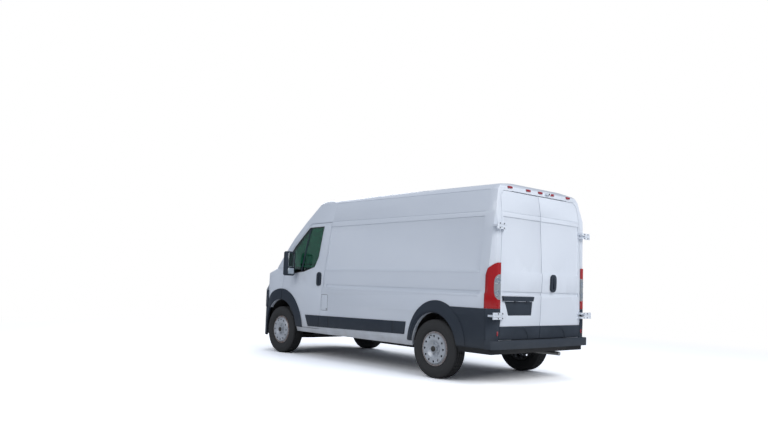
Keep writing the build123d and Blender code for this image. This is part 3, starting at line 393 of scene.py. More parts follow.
@dataclass(frozen=True)
class WheelFinish(Finish):
    """Paint on a pressed wheel, turned about its own axle, with rust that creeps in from the rim's edge."""

    rust: str = "#6b4a33"
    rust_start: float = 0.188
    rust_full: float = 0.206
    rust_patches: float = 38.0
    front_share: float = 1.0
    rear_share: float = 0.8
    front_x: float = 1.7585
    rear_x: float = -1.6915
    axle_z: float = 0.372
    # near-black painted shade over the wheel behind its face, inboard of this distance from the van's middle plane
    inboard_shade_colour: str = "#1d1b19"
    shade_inboard_of: float = 0.955

    def by_axle(self, graph: Graph, rear: float, front: float) -> Socket:
        """One number on the rear wheels and another on the front ones."""
        x = graph.axes(super().coordinates(graph))[0]
        return graph.ramp(graph.sum("GREATER_THAN", x, 0.0), (rear, front))

    def coordinates(self, graph: Graph) -> Socket:
        """Place measured from the centre of the wheel that it lies on."""
        inputs = {"X": self.by_axle(graph, self.rear_x, self.front_x), "Z": self.axle_z}
        middle = graph.node("ShaderNodeCombineXYZ", inputs).outputs[0]
        return graph.vector("SUBTRACT", super().coordinates(graph), middle)[0]

    def colour(self, graph: Graph, place: Socket) -> Socket:
        """Silver paint that gives way to rust toward the rim's edge, more on the front wheels, and painted shade
        behind the wheel's face.
        """
        radius = graph.vector("LENGTH", graph.vector("MULTIPLY", place, (1.0, 0.0, 1.0))[0])["Value"]
        edge = graph.ramp(radius, (0.0, 1.0), (self.rust_start, self.rust_full), soft=True)
        patch = graph.ramp(graph.noise(place, self.rust_patches, 5.0, 0.7), (0.35, 1.0), (0.35, 0.6))
        worn = graph.sum("MULTIPLY", edge, patch)
        amount = graph.sum("MULTIPLY", worn, self.by_axle(graph, self.rear_share, self.front_share))
        rusty = graph.mix(amount, super().colour(graph, place), linear(self.rust))
        # painted shade: near-black over the part of the wheel inboard of its face
        inside = graph.sum("LESS_THAN", graph.sum("ABSOLUTE", graph.axes(place)[1]), self.shade_inboard_of)
        return graph.mix(inside, rusty, linear(self.inboard_shade_colour))


# Solid white coach enamel under a clear coat: smooth, with faint orange peel about 6 mm across and dust low down. Its
# pale blue tint is painted sky light on the white.
WHITE_ENAMEL = BodyEnamel("white_enamel", "#e2e7ee", 0.34, coat=0.6, coat_roughness=0.06, grain_mm=6.0,
                          relief_mm=0.012, tint="#dae0e9", tint_mm=900, dust=1.0, dust_top=0.7)
# Unpainted moulded polypropylene: a grained dark blue-grey that has weathered a little paler. Grain drawn at 4 mm.
GRAINED_PP = Finish("grained_polypropylene", "#212b37", 0.62, ior=1.49, grain=Grain.CELLS, grain_mm=4.0,
                    relief_mm=0.12, tint="#29333f", tint_mm=300, wear=0.1, dust=0.35, dust_top=0.7,
                    dust_colour="#6f6c66")
# Toughened glass, polished on both faces: its strong green is partly the glass's own tint and partly a painted
# reflection of trees.
GLASS_TINT_AND_REFLECTION = Finish("toughened_glass", "#4c8573", 0.02, ior=1.52, transmission=1.0, grain_mm=400,
                      relief_mm=0.01, tint="#477e6d", wear=0.02)
# Injection-moulded acrylic over red and clear lamp fields.
RED_ACRYLIC = LampLens("lamp_acrylic", "#a3040c", 0.10, ior=1.49, coat=0.3, grain_mm=9.0, relief_mm=0.25,
                       wear=0.03)
# The same acrylic in the roof markers and the low reflectors, red all over.
MARKER_ACRYLIC = Finish("marker_acrylic", "#8e1420", 0.12, ior=1.49, coat=1.0, grain_mm=5.0, relief_mm=0.1,
                        tint="#a0161f", wear=0.03)
# Hard-coated polycarbonate headlamp cover.
CLEAR_POLYCARBONATE = Finish("clear_polycarbonate", "#4d545b", 0.06, ior=1.58, coat=1.0, grain_mm=20,
                             relief_mm=0.05, tint="#454b51", tint_mm=60, wear=0.03)
# Extruded rubber: matt, faintly dusty. The same dark finish is laid in thin strips as painted shade in the seams of
# the rubbing strip and round the fuel flap.
RUBBER_AND_GAP_SHADE = Finish("seal_rubber", "#191a1b", 0.72, ior=1.52, grain_mm=1.5, relief_mm=0.03, tint="#222324",
                     wear=0.08)
# Cured tyre rubber: matt charcoal, browner with road dust.
TYRE_RUBBER = Finish("tyre_rubber", "#303135", 0.8, ior=1.52, grain_mm=3.0, relief_mm=0.15, tint="#393938",
                     tint_mm=90, wear=0.1)
# Silver wheel paint on pressed steel: fine metallic flake under lacquer.
WHEEL_PAINT = WheelFinish("silver_wheel_paint", "#c6cbd1", 0.36, metallic=0.35, coat=0.35, grain=Grain.TURNED,
                          grain_mm=2.5, relief_mm=0.02, tint="#b3b6ba", tint_mm=70, wear=0.1)
# Wax-coated black chassis steel with dried road dirt.
CHASSIS_PAINT = Finish("chassis_black", "#1b1b1c", 0.6, coat=0.1, grain_mm=8.0, relief_mm=0.15, tint="#2c2a27",
                       tint_mm=160, wear=0.15)
# Sand-cast iron and aluminium: coarse skin, dull.
CAST_IRON = Finish("cast_engine_metal", "#5a5a5b", 0.6, metallic=0.8, grain_mm=3.0, relief_mm=0.3,
                   tint="#48443f", tint_mm=80, wear=0.15)
# Rolled stainless exhaust tube, heat-tinted and stained.
EXHAUST_STEEL = Finish("exhaust_steel", "#7c756c", 0.45, metallic=0.9, grain_mm=2.0, relief_mm=0.05,
                       tint="#5c5147", tint_mm=90, wear=0.15)
# Blow-moulded polyethylene tank.
TANK_PE = Finish("tank_polyethylene", "#151516", 0.5, ior=1.51, grain_mm=5.0, relief_mm=0.1, tint="#1e1e1f",
                 wear=0.1)
# Flat-woven polyester seat cloth, threads drawn 3 mm apart so that they show.
SEAT_CLOTH = Finish("woven_seat_cloth", "#2b2c30", 0.85, sheen=0.3, grain=Grain.WEAVE, grain_mm=3.0,
                    relief_mm=0.3, tint="#36373c", tint_mm=25, wear=0.06)
# Ribbed polyester webbing.
WEBBING = Finish("belt_webbing", "#17181a", 0.8, sheen=0.2, grain=Grain.WEAVE, grain_mm=2.0, relief_mm=0.1,
                 tint="#1f2023", tint_mm=30)
# Soft-grained moulded dashboard skin.
DASH_SKIN = Finish("dashboard_skin", "#2a2b2d", 0.6, ior=1.49, grain=Grain.CELLS, grain_mm=2.5, relief_mm=0.1,
                   tint="#303134", wear=0.08)
# Silvered glass behind a clear face.
MIRROR_GLASS = Finish("mirror_glass", "#c9d0d3", 0.03, metallic=1.0, grain_mm=300, relief_mm=0.01, wear=0.02)
# Amber bulb behind a frosted lens, so it reads pale amber when off.
INDICATOR_LENS = Finish("indicator_lens", "#d9c6a0", 0.12, ior=1.49, coat=1.0, grain_mm=4.0, relief_mm=0.12,
                        tint="#d49b4a", tint_mm=45, wear=0.03)
# Vacuum-metallised reflector under a clear cover: bright, pressed in 6 mm flutes.
BRIGHT_BOWL = Finish("bright_reflector", "#dfe3e6", 0.14, metallic=1.0, coat=1.0, grain=Grain.CELLS,
                     grain_mm=6.0, relief_mm=0.25, tint="#c4cace", tint_mm=30, wear=0.03)
# Dark glass of a small camera.
DARK_LENS = Finish("camera_glass", "#0d0f12", 0.05, ior=1.52, coat=1.0, grain_mm=100, relief_mm=0.01, wear=0.02)



def both(*names: str) -> tuple[str, ...]:
    """Left and right node of each name."""
    return tuple(f"{name}_{side}" for name in names for _, side in SIDES)


NODE_FINISHES: dict[Finish, tuple[str, ...]] = {
    WHITE_ENAMEL: (*both("side_panel", "wing", "cab_door", "rear_door"), "sliding_door", "roof_shell",
                   "screen_frame", "bonnet", "rear_hinge_brackets"),
    GRAINED_PP: (*both("side_cladding", "cab_door_trim", "mirror", "rear_door_trim"), "sliding_door_trim",
                 "cowl", "wing_trims", "grille", "front_bumper", "rear_bumper"),
    GLASS_TINT_AND_REFLECTION: ("windscreen", *both("cab_door_glass")),
    RED_ACRYLIC: ("tail_lamps",),
    MARKER_ACRYLIC: ("roof_marker_lamps",),
    CLEAR_POLYCARBONATE: ("headlamps",),
    RUBBER_AND_GAP_SHADE: ("door_seals",),
    CHASSIS_PAINT: ("underbody", "front_subframe", "rear_axle", *both("knuckle")),
    CAST_IRON: ("engine_block",),
    EXHAUST_STEEL: ("exhaust",),
    TANK_PE: ("fuel_tank",),
    SEAT_CLOTH: ("seats",),
    DASH_SKIN: ("dashboard",),
    WHEEL_PAINT: tuple(f"rim_{corner}" for corner, _ in WHEELS),
    TYRE_RUBBER: tuple(f"tyre_{corner}" for corner, _ in WHEELS),
}


def linked(name: str, data: bpy.types.ID) -> Piece:
    """Put a new object with this data into the scene."""
    made = bpy.data.objects.new(name, data)
    bpy.context.scene.collection.objects.link(made)
    return made


def modify(piece: Piece, kind: str, **settings: object) -> bpy.types.Modifier:
    """Add one modifier with its settings."""
    made = piece.modifiers.new(kind.lower(), kind)
    for key, value in settings.items():
        setattr(made, key, value)
    return made


@dataclass
class Studio:
    """Pale floor, soft lamps and the camera at the photograph's place."""

    floor_size: float = 80.0
    floor_drop: float = 0.0005
    floor_colour: str = "#cfd0d1"
    floor_gain: float = 1.75
    floor_fade: Pair = (4.5, 11.0)
    sky: float = 0.46
    sky_colour: str = "#dde8fb"
    # name, place, side and watts of each square lamp, and where they all aim
    lamps: tuple[tuple[str, Point, float, float], ...] = (
        ("key", (-8.5, 0.0, 5.5), 5.0, 375), ("side", (-1.0, 9.0, 6.0), 6.0, 225),
        ("front", (8.0, -4.0, 6.0), 6.0, 300))
    aim: Point = (0, 0, 1.1)
    camera_place: Point = (-7.948, 7.611, 1.176)
    camera_right: Point = (-0.6741, -0.7377, 0.0367)
    camera_forward: Point = (0.7372, -0.6688, 0.0961)
    lens_mm: float = 32.85
    sensor_mm: float = 36.0

    def build(self) -> None:
        """Make the floor, world, lamps and camera."""
        self.floor()
        self.world()
        for name, place, size, watts in self.lamps:
            self.lamp(name, place, size, watts)
        self.camera()
        bpy.context.scene.view_settings.view_transform = "Standard"
        log.info("studio ready")

    def floor(self) -> None:
        """Lay a plain floor that shows white to the camera away from the object."""
        bpy.ops.mesh.primitive_plane_add(size=self.floor_size, location=(0, 0, -self.floor_drop))
        plane = bpy.context.object
        plane.name = "studio_floor"
        paper = bpy.data.materials.new("studio_paper")
        paper.use_nodes = True
        graph = Graph(paper.node_tree)
        shader = paper.node_tree.nodes["Principled BSDF"]
        away = graph.vector("LENGTH", graph.node("ShaderNodeTexCoord").outputs["Object"])["Value"]
        fade = graph.ramp(away, (0.0, 1.0), self.floor_fade, soft=True)
        seen = graph.node("ShaderNodeLightPath").outputs["Is Camera Ray"]
        gain = (self.floor_gain, self.floor_gain, self.floor_gain, 1.0)
        graph.feed(shader, {"Roughness": 1.0, "Specular IOR Level": 0.0,
                            "Base Color": graph.mix(seen, linear(self.floor_colour), gain)})
        white = graph.node("ShaderNodeEmission", {"Color": linear("#ffffff"), "Strength": 1.0})
        both = {0: graph.sum("MULTIPLY", fade, seen), 1: shader.outputs[0], 2: white.outputs[0]}
        graph.feed(paper.node_tree.nodes["Material Output"],
                   {"Surface": graph.node("ShaderNodeMixShader", both).outputs[0]})
        plane.data.materials.append(paper)

    def world(self) -> None:
        """Even light of an open sky, seen as white by the camera and through glass."""
        world = bpy.data.worlds.new("studio_sky")
        bpy.context.scene.world = world
        world.use_nodes = True
        world.node_tree.nodes.clear()
        graph = Graph(world.node_tree)
        path = graph.node("ShaderNodeLightPath").outputs
        seen = graph.sum("MAXIMUM", path["Is Camera Ray"], path["Is Transmission Ray"])
        light, white = [graph.node("ShaderNodeBackground", {"Color": linear(code), "Strength": strength}).outputs[0]
                        for code, strength in ((self.sky_colour, self.sky), ("#ffffff", 1.0))]
        mixed = graph.node("ShaderNodeMixShader", {0: seen, 1: light, 2: white})
        graph.node("ShaderNodeOutputWorld", {"Surface": mixed.outputs[0]})

    def lamp(self, name: str, place: Point, size: float, watts: float) -> None:
        """Hang one soft square lamp that faces the van.

        Args:
            name: the lamp's name.
            place: its position in metres.
            size: its side in metres.
            watts: its power.
        """
        data = bpy.data.lights.new(f"lamp_{name}", "AREA")
        data.shape = "SQUARE"
        data.size = size
        data.energy = watts
        lamp = linked(f"lamp_{name}", data)
        lamp.location = place
        lamp.rotation_euler = (Vector(self.aim) - Vector(place)).to_track_quat("-Z", "Y").to_euler()

    def camera(self) -> None:
        """Stand the camera where the photograph was taken from."""
        data = bpy.data.cameras.new("camera")
        data.lens = self.lens_mm
        data.sensor_width = self.sensor_mm
        right = Vector(self.camera_right).normalized()
        back = -Vector(self.camera_forward).normalized()
        turn = Matrix((right, back.cross(right).normalized(), back)).transposed().to_4x4()
        camera = linked("camera", data)
        camera.matrix_world = Matrix.Translation(self.camera_place) @ turn
        bpy.context.scene.camera = camera


@dataclass
class Paintwork:
    """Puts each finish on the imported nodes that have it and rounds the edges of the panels."""

    nodes: dict[str, Piece]
    # radius of the pressed or moulded edges of each finish
    edges: tuple[tuple[Finish, float], ...] = ((WHITE_ENAMEL, 0.004), (GRAINED_PP, 0.004), (DASH_SKIN, 0.006),
                                               (CLEAR_POLYCARBONATE, 0.004), (RED_ACRYLIC, 0.003))
    weld: float = 0.00002
    edge_angle: float = 40.0
    smooth_angle: float = 38.0

    def build(self) -> None:
        """Assign every node's finish and ease its edges."""
        radii = dict(self.edges)
        for finish, names in NODE_FINISHES.items():
            for name in names:
                node = self.nodes[name]
                if not node.material_slots:
                    node.data.materials.append(finish.material())
                for slot in node.material_slots:
                    slot.material = finish.material()
                if finish in radii:
                    self.ease(node, radii[finish])
                log.info("%s finished in %s", name, finish.name)

    def ease(self, node: Piece, radius: float) -> None:
        """Round the sharp edges of one node with modifiers, its own mesh left as packed."""
        modify(node, "WELD", merge_threshold=self.weld)
        modify(node, "BEVEL", width=radius, segments=2, limit_method="ANGLE",
               angle_limit=math.radians(self.edge_angle), use_clamp_overlap=True)
        modify(node, "NODES", node_group=self.smoothing())

    def smoothing(self) -> bpy.types.NodeTree:
        """Node group that shades a mesh smooth between its sharp edges."""
        tree = bpy.data.node_groups.get("smooth_panels")
        if tree:
            return tree
        tree = bpy.data.node_groups.new("smooth_panels", "GeometryNodeTree")
        for side in ("INPUT", "OUTPUT"):
            tree.interface.new_socket("Geometry", in_out=side, socket_type="NodeSocketGeometry")
        graph = Graph(tree)
        angle = graph.node("GeometryNodeInputMeshEdgeAngle").outputs["Unsigned Angle"]
        sharp = graph.node("FunctionNodeCompare", {0: angle, 1: math.radians(self.smooth_angle)},
                           data_type="FLOAT", operation="GREATER_THAN").outputs[0]
        shape = graph.node("NodeGroupInput").outputs["Geometry"]
        for kind, inputs, settings in (
                ("GeometryNodeRemoveAttribute", {"Name": "custom_normal"}, {}),
                ("GeometryNodeSetShadeSmooth", {"Shade Smooth": True}, {"domain": "FACE"}),
                ("GeometryNodeSetShadeSmooth", {"Shade Smooth": False, "Selection": sharp}, {"domain": "EDGE"})):
            shape = graph.node(kind, {"Geometry": shape, **inputs}, **settings).outputs["Geometry"]
        graph.node("NodeGroupOutput", {"Geometry": shape})
        return tree


def clear_selection() -> None:
    """Leave edit mode and deselect everything."""
    if bpy.context.mode != "OBJECT":
        bpy.ops.object.mode_set(mode="OBJECT")
    bpy.ops.object.select_all(action="DESELECT")


def activate(piece: Piece) -> None:
    """Select one object alone and make it active."""
    clear_selection()
    piece.select_set(True)
    bpy.context.view_layer.objects.active = piece


class Shaping:
    """Edit mode on one object, with faces picked by their place and normal."""

    def __init__(self, piece: Piece) -> None:
        """Take the object to shape."""
        self.piece = piece

    def __enter__(self) -> Shaping:
        """Start with every face selected."""
        activate(self.piece)
        bpy.ops.object.mode_set(mode="EDIT")
        bpy.ops.mesh.select_mode(type="FACE")
        bpy.ops.mesh.select_all(action="SELECT")
        return self

    def __exit__(self, *failure: object) -> None:
        """Leave edit mode."""
        bpy.ops.object.mode_set(mode="OBJECT")

    def faces(self, test: FaceTest) -> None:
        """Select the faces whose middle and normal pass a test."""
        mesh = bmesh.from_edit_mesh(self.piece.data)
        for face in mesh.faces:
            face.select_set(False)
        for face in [face for face in mesh.faces if test(face.calc_center_median(), face.normal)]:
            face.select_set(True)
        bmesh.update_edit_mesh(self.piece.data)

    def looking(self, out: Sequence[float]) -> None:
        """Select the faces that look along a direction."""
        self.faces(lambda at, normal: normal.dot(Vector(out)) > LOOKS)

    @staticmethod
    def cut(place: Point, across: Point) -> None:
        """Cut every face along a plane through a place."""
        bpy.ops.mesh.select_all(action="SELECT")
        bpy.ops.mesh.bisect(plane_co=place, plane_no=across)

    @staticmethod
    def inset(border: float, rise: float = 0.0, each: bool = False) -> None:
        """Inset the selected faces together, or each by itself, then raise or sink them."""
        bpy.ops.mesh.inset(thickness=border, depth=rise, use_individual=each)

    @staticmethod
    def pull(offset: Sequence[float], scale: Point = (1, 1, 1)) -> None:
        """Extrude the selected faces by an offset and resize their far end about the origin."""
        bpy.ops.mesh.extrude_region_move(TRANSFORM_OT_translate={"value": tuple(offset)})
        bpy.ops.transform.resize(value=scale, center_override=(0, 0, 0))

    @staticmethod
    def swell(distance: float) -> None:
        """Extrude the selected faces along their normals."""
        bpy.ops.mesh.extrude_region_shrink_fatten(TRANSFORM_OT_shrink_fatten={"value": distance})


def trim(piece: Piece, out: Sequence[float], *steps: Pair) -> Piece:
    """Inset the faces of a piece that look along a direction, once or more.

    Args:
        piece: the piece to shape.
        out: the direction.
        steps: border and rise of each inset.

    Returns:
        The same piece.
    """
    with Shaping(piece) as edit:
        edit.looking(out)
        for border, rise in steps:
            edit.inset(border, rise)
    return piece


def settle(piece: Piece, name: str) -> Piece:
    """Name a piece and move its place, turn and scale into its mesh."""
    activate(piece)
    bpy.ops.object.transform_apply(location=True, rotation=True, scale=True)
    piece.name = name
    piece.data.name = name
    return piece


def block(name: str, middle: Sequence[float], size: Sequence[float]) -> Piece:
    """Start a piece as a cuboid.

    Args:
        name: the piece's name.
        middle: its middle in metres.
        size: its three sides in metres.

    Returns:
        The new object, ready to shape.
    """
    clear_selection()
    bpy.ops.mesh.primitive_cube_add(size=1, location=tuple(middle))
    piece = bpy.context.object
    piece.scale = size
    return settle(piece, name)


def drum(name: str, middle: Sequence[float], radius: float, depth: float, along: Sequence[float],
         sides: int) -> Piece:
    """Start a piece as a cylinder whose axis points along a direction.

    Args:
        name: the piece's name.
        middle: its middle in metres.
        radius: its radius.
        depth: its length.
        along: direction of its axis.
        sides: how many sides it has.

    Returns:
        The new object, ready to shape.
    """
    clear_selection()
    turn = Vector(along).to_track_quat("Z", "Y").to_euler()
    bpy.ops.mesh.primitive_cylinder_add(vertices=sides, radius=radius, depth=depth, location=tuple(middle),
                                        rotation=turn)
    return settle(bpy.context.object, name)


def swept(name: str, cells: tuple[int, int], place: Callable[[float, float], Sequence[float]]) -> Piece:
    """Bend a flat grid so that each of its points goes to its own place.

    Args:
        name: the piece's name.
        cells: how many lie along it and across it.
        place: takes the share along and the share across, both 0 to 1.

    Returns:
        The bent sheet.
    """
    clear_selection()
    bpy.ops.mesh.primitive_grid_add(x_subdivisions=cells[0], y_subdivisions=cells[1], size=1)
    piece = settle(bpy.context.object, name)
    for vertex in piece.data.vertices:
        vertex.co = place(vertex.co.x + 0.5, vertex.co.y + 0.5)
    return piece


def strip(name: str, ends: Sequence[Sequence[float]], width: float, over: Piece, facing: Point, height: float,
          cuts: int = 9) -> Piece:
    """Lay a flat bar on a node's surface between two points.

    Args:
        name: the piece's name.
        ends: both ends, a little off the surface.
        width: the bar's width.
        over: the node that carries it.
        facing: direction that the bar faces.
        height: how far it stands off the surface.
        cuts: divisions along and across it, which follow the surface.

    Returns:
        The bar.
    """
    start, end = [Vector(place) for place in ends]
    out = Vector(facing).normalized()
    across = out.cross(end - start).normalized()
    clear_selection()
    bpy.ops.mesh.primitive_plane_add(size=1)
    piece = bpy.context.object
    with Shaping(piece):
        bpy.ops.mesh.subdivide(number_cuts=cuts)
    turn = Matrix((across.cross(out).normalized(), across, out)).transposed().to_4x4()
    size = Matrix.Diagonal(((end - start).length, width, 1, 1))
    piece.matrix_world = Matrix.Translation((start + end) / 2) @ turn @ size
    settle(piece, name)
    lay_on(piece, over, max(range(3), key=lambda at: abs(out[at])), height)
    return piece


def lay_on(piece: Piece, over: Piece, axis: int, height: float) -> None:
    """Press a flat piece onto a node along one axis, then thicken it outward.

    Args:
        piece: the flat piece.
        over: the node that carries it.
        axis: 0, 1 or 2 for X, Y or Z.
        height: its thickness.
    """
    modify(piece, "SHRINKWRAP", target=over, wrap_method="PROJECT", use_negative_direction=True,
           use_positive_direction=True, **{f"use_project_{letter}": at == axis for at, letter in enumerate("xyz")})
    thicken(piece, height)


def thicken(piece: Piece, height: float) -> None:
    """Thicken a sheet outward and apply its modifiers."""
    modify(piece, "SOLIDIFY", thickness=height, offset=1.0)
    apply_modifiers(piece)


def apply_modifiers(piece: Piece) -> None:
    """Apply every modifier in order."""
    activate(piece)
    for name in [modifier.name for modifier in piece.modifiers]:
        bpy.ops.object.modifier_apply(modifier=name)


def border(node: Piece, name: str, facing: Point, width: float, height: float) -> Piece:
    """Raise a band of even width round the edge of a node's outer face.

    Args:
        node: the node whose outline it follows.
        name: the piece's name.
        facing: direction that the outer face looks.
        width: the band's width.
        height: how far it stands off the face.

    Returns:
        The band.
    """
    piece = linked(name, node.data.copy())
    out = Vector(facing)
    with Shaping(piece) as edit:
        bpy.ops.mesh.remove_doubles(threshold=Paintwork.weld)
        edit.faces(lambda at, normal: normal.dot(out) < EDGE_LOOKS)
        bpy.ops.mesh.delete(type="FACE")
        bpy.ops.mesh.select_all(action="SELECT")
        edit.inset(width)
        bpy.ops.mesh.delete(type="FACE")
    thicken(piece, height)
    piece.data.name = name
    return piece


def complete(piece: Piece, finish: Finish, body: Body, slot: str, rounding: float = 0.0,
             segments: int = 2) -> Piece:
    """Round a piece's edges, smooth it, give it its finish and hang it on its body.

    Args:
        piece: the shaped piece.
        finish: its surface finish.
        body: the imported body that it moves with.
        slot: the record's material slot.
        rounding: radius of its edges, or nothing.
        segments: steps in that radius.

    Returns:
        The same piece.
    """
    if rounding:
        modify(piece, "BEVEL", width=rounding, segments=segments, limit_method="ANGLE",
               angle_limit=math.radians(ROUND_FROM))
    apply_modifiers(piece)
    bpy.ops.object.shade_smooth_by_angle(angle=math.radians(SHARP_FROM))
    piece.data.materials.clear()
    piece.data.materials.append(finish.material())
    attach(piece, body.value)
    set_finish(piece, slot)
    return piece


def copied(piece: Piece, name: str, body: Body, change: Matrix) -> Piece:
    """Copy a finished piece with its own mesh, moved or mirrored.

    Args:
        piece: the piece to copy.
        name: the copy's name.
        body: the body that the copy moves with.
        change: the move, or a mirror.

    Returns:
        The copy.
    """
    twin = linked(name, piece.data.copy())
    twin.data.name = name
    twin.data.transform(change)
    if change.determinant() < 0:
        twin.data.flip_normals()
    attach(twin, body.value)
    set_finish(twin, piece["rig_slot"])
    return twin


def join(pieces: Sequence[Piece], name: str) -> Piece:
    """Join pieces of one finish into one object."""
    activate(pieces[0])
    for piece in pieces:
        piece.select_set(True)
    bpy.ops.object.join()
    pieces[0].name = name
    pieces[0].data.name = name
    return pieces[0]


@dataclass
class Surroundings:
    """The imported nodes, and rays against them that seat small pieces."""

    nodes: dict[str, Piece]

    def hit(self, node: str, start: Sequence[float], direction: Sequence[float]) -> Vector:
        """Find where a ray meets a node.

        Args:
            node: the node's name.
            start: where the ray starts.
            direction: where it goes.

        Returns:
            The place on the node's surface.
        """
        found, place, _, _ = self.nodes[node].ray_cast(Vector(start), Vector(direction).normalized())
        if not found:
            raise ValueError(f"no surface of {node} from {tuple(start)}")
        return place

    def behind(self, node: str, across: float, height: float) -> Vector:
        """Place on a node that shows from behind at one Y and Z."""
        return self.hit(node, (-FAR, across, height), (1, 0, 0))

    def middle(self, node: str) -> Vector:
        """Middle of a node's box."""
        low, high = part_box(node)
        return (low + high) / 2


@dataclass
class Tyre:
    """Radial van tyre: four ribs, cut shoulders and a rounded sidewall over the rim flange."""

    radius: float = 0.3715
    tread_half: float = 0.078
    pitches: int = 240
    groove_depth: float = 0.008
    groove_half: float = 0.005
    grooves: tuple[float, ...] = (-0.054, -0.018, 0.018, 0.054)
    # slots: depth as a share of a groove's, and pitches from one to the next
    slot_share: float = 0.6
    shoulder_every: int = 4
    rib_every: int = 6
    rib_first: int = 2
    # slack in telling a tread face from a groove's, the drum's end and its middle
    skin: float = 0.003
    slack: float = 0.0005
    hub_reach: float = 0.05
    # radius and distance from the middle plane of each sidewall ring, tread edge first
    sidewall: tuple[Pair, ...] = (
        (0.3660, 0.0880), (0.3480, 0.1000), (0.3440, 0.1002), (0.3200, 0.1085), (0.2940, 0.1120), (0.2900, 0.1105),
        (0.2620, 0.1085), (0.2500, 0.1030), (0.2340, 0.0910), (0.2214, 0.0745), (0.2040, 0.0706))

    def build(self, frame: Surroundings) -> None:
        """Model one tyre and copy it to the other three wheels."""
        first = frame.middle("tyre_front_left")
        piece = drum("tyre_cover_front_left", (0, 0, 0), self.radius, 2 * self.tread_half, (0, 1, 0), self.pitches)
        self.cut_tread(piece)
        self.draw_sidewalls(piece)
        piece.data.transform(Matrix.Translation(first))
        complete(piece, TYRE_RUBBER, Body.WHEEL_FRONT_LEFT, "tyre_rubber")
        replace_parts(piece, "tyre_front_left")
        for corner, body in WHEELS[1:]:
            target = frame.middle(f"tyre_{corner}")
            there = (Matrix.Translation(target) @ (MIRROR if target.y < 0 else Matrix())
                     @ Matrix.Translation(-first))
            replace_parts(copied(piece, f"tyre_cover_{corner}", body, there), f"tyre_{corner}")

    def cut_tread(self, piece: Piece) -> None:
        """Sink the grooves round the tread and the slots across its shoulders and ribs."""
        step = 2 * math.pi / self.pitches

        def in_groove(at: Vector, normal: Vector) -> bool:
            """Tell whether a tread face lies in a groove."""
            return abs(normal.y) < 0.5 and any(abs(at.y - groove) < self.groove_half for groove in self.grooves)

        def in_slot(at: Vector, normal: Vector) -> bool:
            """Tell whether a tread face lies in a slot of a shoulder or a rib."""
            pitch = int((math.atan2(at.z, at.x) % (2 * math.pi)) / step)
            shoulder = abs(at.y) > self.grooves[-1] + self.groove_half
            rib = abs(at.y) < self.grooves[-1] - self.groove_half and not in_groove(at, normal)
            cut = ((shoulder and pitch % self.shoulder_every == 0)
                   or (rib and pitch % self.rib_every == self.rib_first))
            return cut and abs(normal.y) < 0.5 and math.hypot(at.x, at.z) > self.radius - self.skin

        with Shaping(piece) as edit:
            for groove in self.grooves:
                for edge in (groove - self.groove_half, groove + self.groove_half):
                    edit.cut((0, edge, 0), (0, 1, 0))
            edit.faces(in_groove)
            edit.swell(-self.groove_depth)
            edit.faces(in_slot)
            edit.swell(-self.slot_share * self.groove_depth)

    def draw_sidewalls(self, piece: Piece) -> None:
        """Extrude both end faces through the sidewall rings and open the bead."""
        def at_hub(at: Vector) -> bool:
            """Tell whether a face spans the whole end of the drum."""
            return math.hypot(at.x, at.z) < self.hub_reach

        with Shaping(piece) as edit:
            for side in (1, -1):
                place, width = self.radius, self.tread_half
                for radius, half in self.sidewall:
                    edit.faces(lambda at, normal: (normal.y * side > LOOKS and at.y * side > width - self.slack
                                                   and at_hub(at)))
                    share = radius / place
                    edit.pull((0, side * (half - width), 0), (share, 1, share))
                    place, width = radius, half
            edit.faces(lambda at, normal: abs(normal.y) > LOOKS and at_hub(at))
            bpy.ops.mesh.bridge_edge_loops()


@dataclass
class WheelFittings:
    """Valve, grease cap and studs that show on each steel wheel."""

    cap_radius: float = 0.036
    cap_length: float = 0.008
    cap_out: float = 0.003
    studs: int = 5
    stud_circle: float = 0.065
    stud_radius: float = 0.006
    stud_length: float = 0.014
    valve_circle: float = 0.172
    valve_turn: float = 75.0
    valve_radius: float = 0.0055
    valve_length: float = 0.022
    valve_out: float = 0.010
    valve_cap: float = 0.008

    def build(self, frame: Surroundings) -> None:
        """Fit the four wheels."""
        for corner, body in WHEELS:
            self.fit(frame, corner, body)

    def fit(self, frame: Surroundings, corner: str, body: Body) -> None:
        """Put a domed cap over the spindle's end, stud ends in the nuts and a rubber valve between two holes.

        Args:
            frame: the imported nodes.
            corner: which wheel it is, as in its node's name.
            body: the wheel's body.
        """
        middle = frame.middle(f"rim_{corner}")
        out = Vector((0, math.copysign(1, middle.y), 0))

        def seat(turn: float, circle: float) -> Vector:
            """Place on the wheel's face at an angle on a circle."""
            aside = Vector((math.cos(turn), 0, math.sin(turn))) * circle
            return frame.hit(f"rim_{corner}", middle + aside + out * 0.5, -out)

        cap = drum(f"hub_cap_{corner}", seat(0, 0) + out * self.cap_out, self.cap_radius, self.cap_length, out, 40)
        trim(cap, out, (0.006, 0.004), (0.010, 0.003), (0.010, 0.0015))
        complete(cap, CAST_IRON, body, "wheel_steel", 0.001)
        studs = []
        for number in range(self.studs):
            place = seat(2 * math.pi * number / self.studs, self.stud_circle)
            studs.append(trim(drum("stud", place, self.stud_radius, self.stud_length, out, 16), out, (0.0015, 0.001)))
        complete(join(studs, f"wheel_studs_{corner}"), EXHAUST_STEEL, body, "wheel_steel", 0.0005)
        place = seat(math.radians(self.valve_turn), self.valve_circle) + out * self.valve_out
        valve = drum(f"tyre_valve_{corner}", place, self.valve_radius, self.valve_length, out, 16)
        with Shaping(valve) as edit:
            edit.looking(out)
            edit.inset(0.0012)
            edit.pull(out * self.valve_cap)
        complete(valve, RUBBER_AND_GAP_SHADE, body, "tyre_rubber", 0.0006)


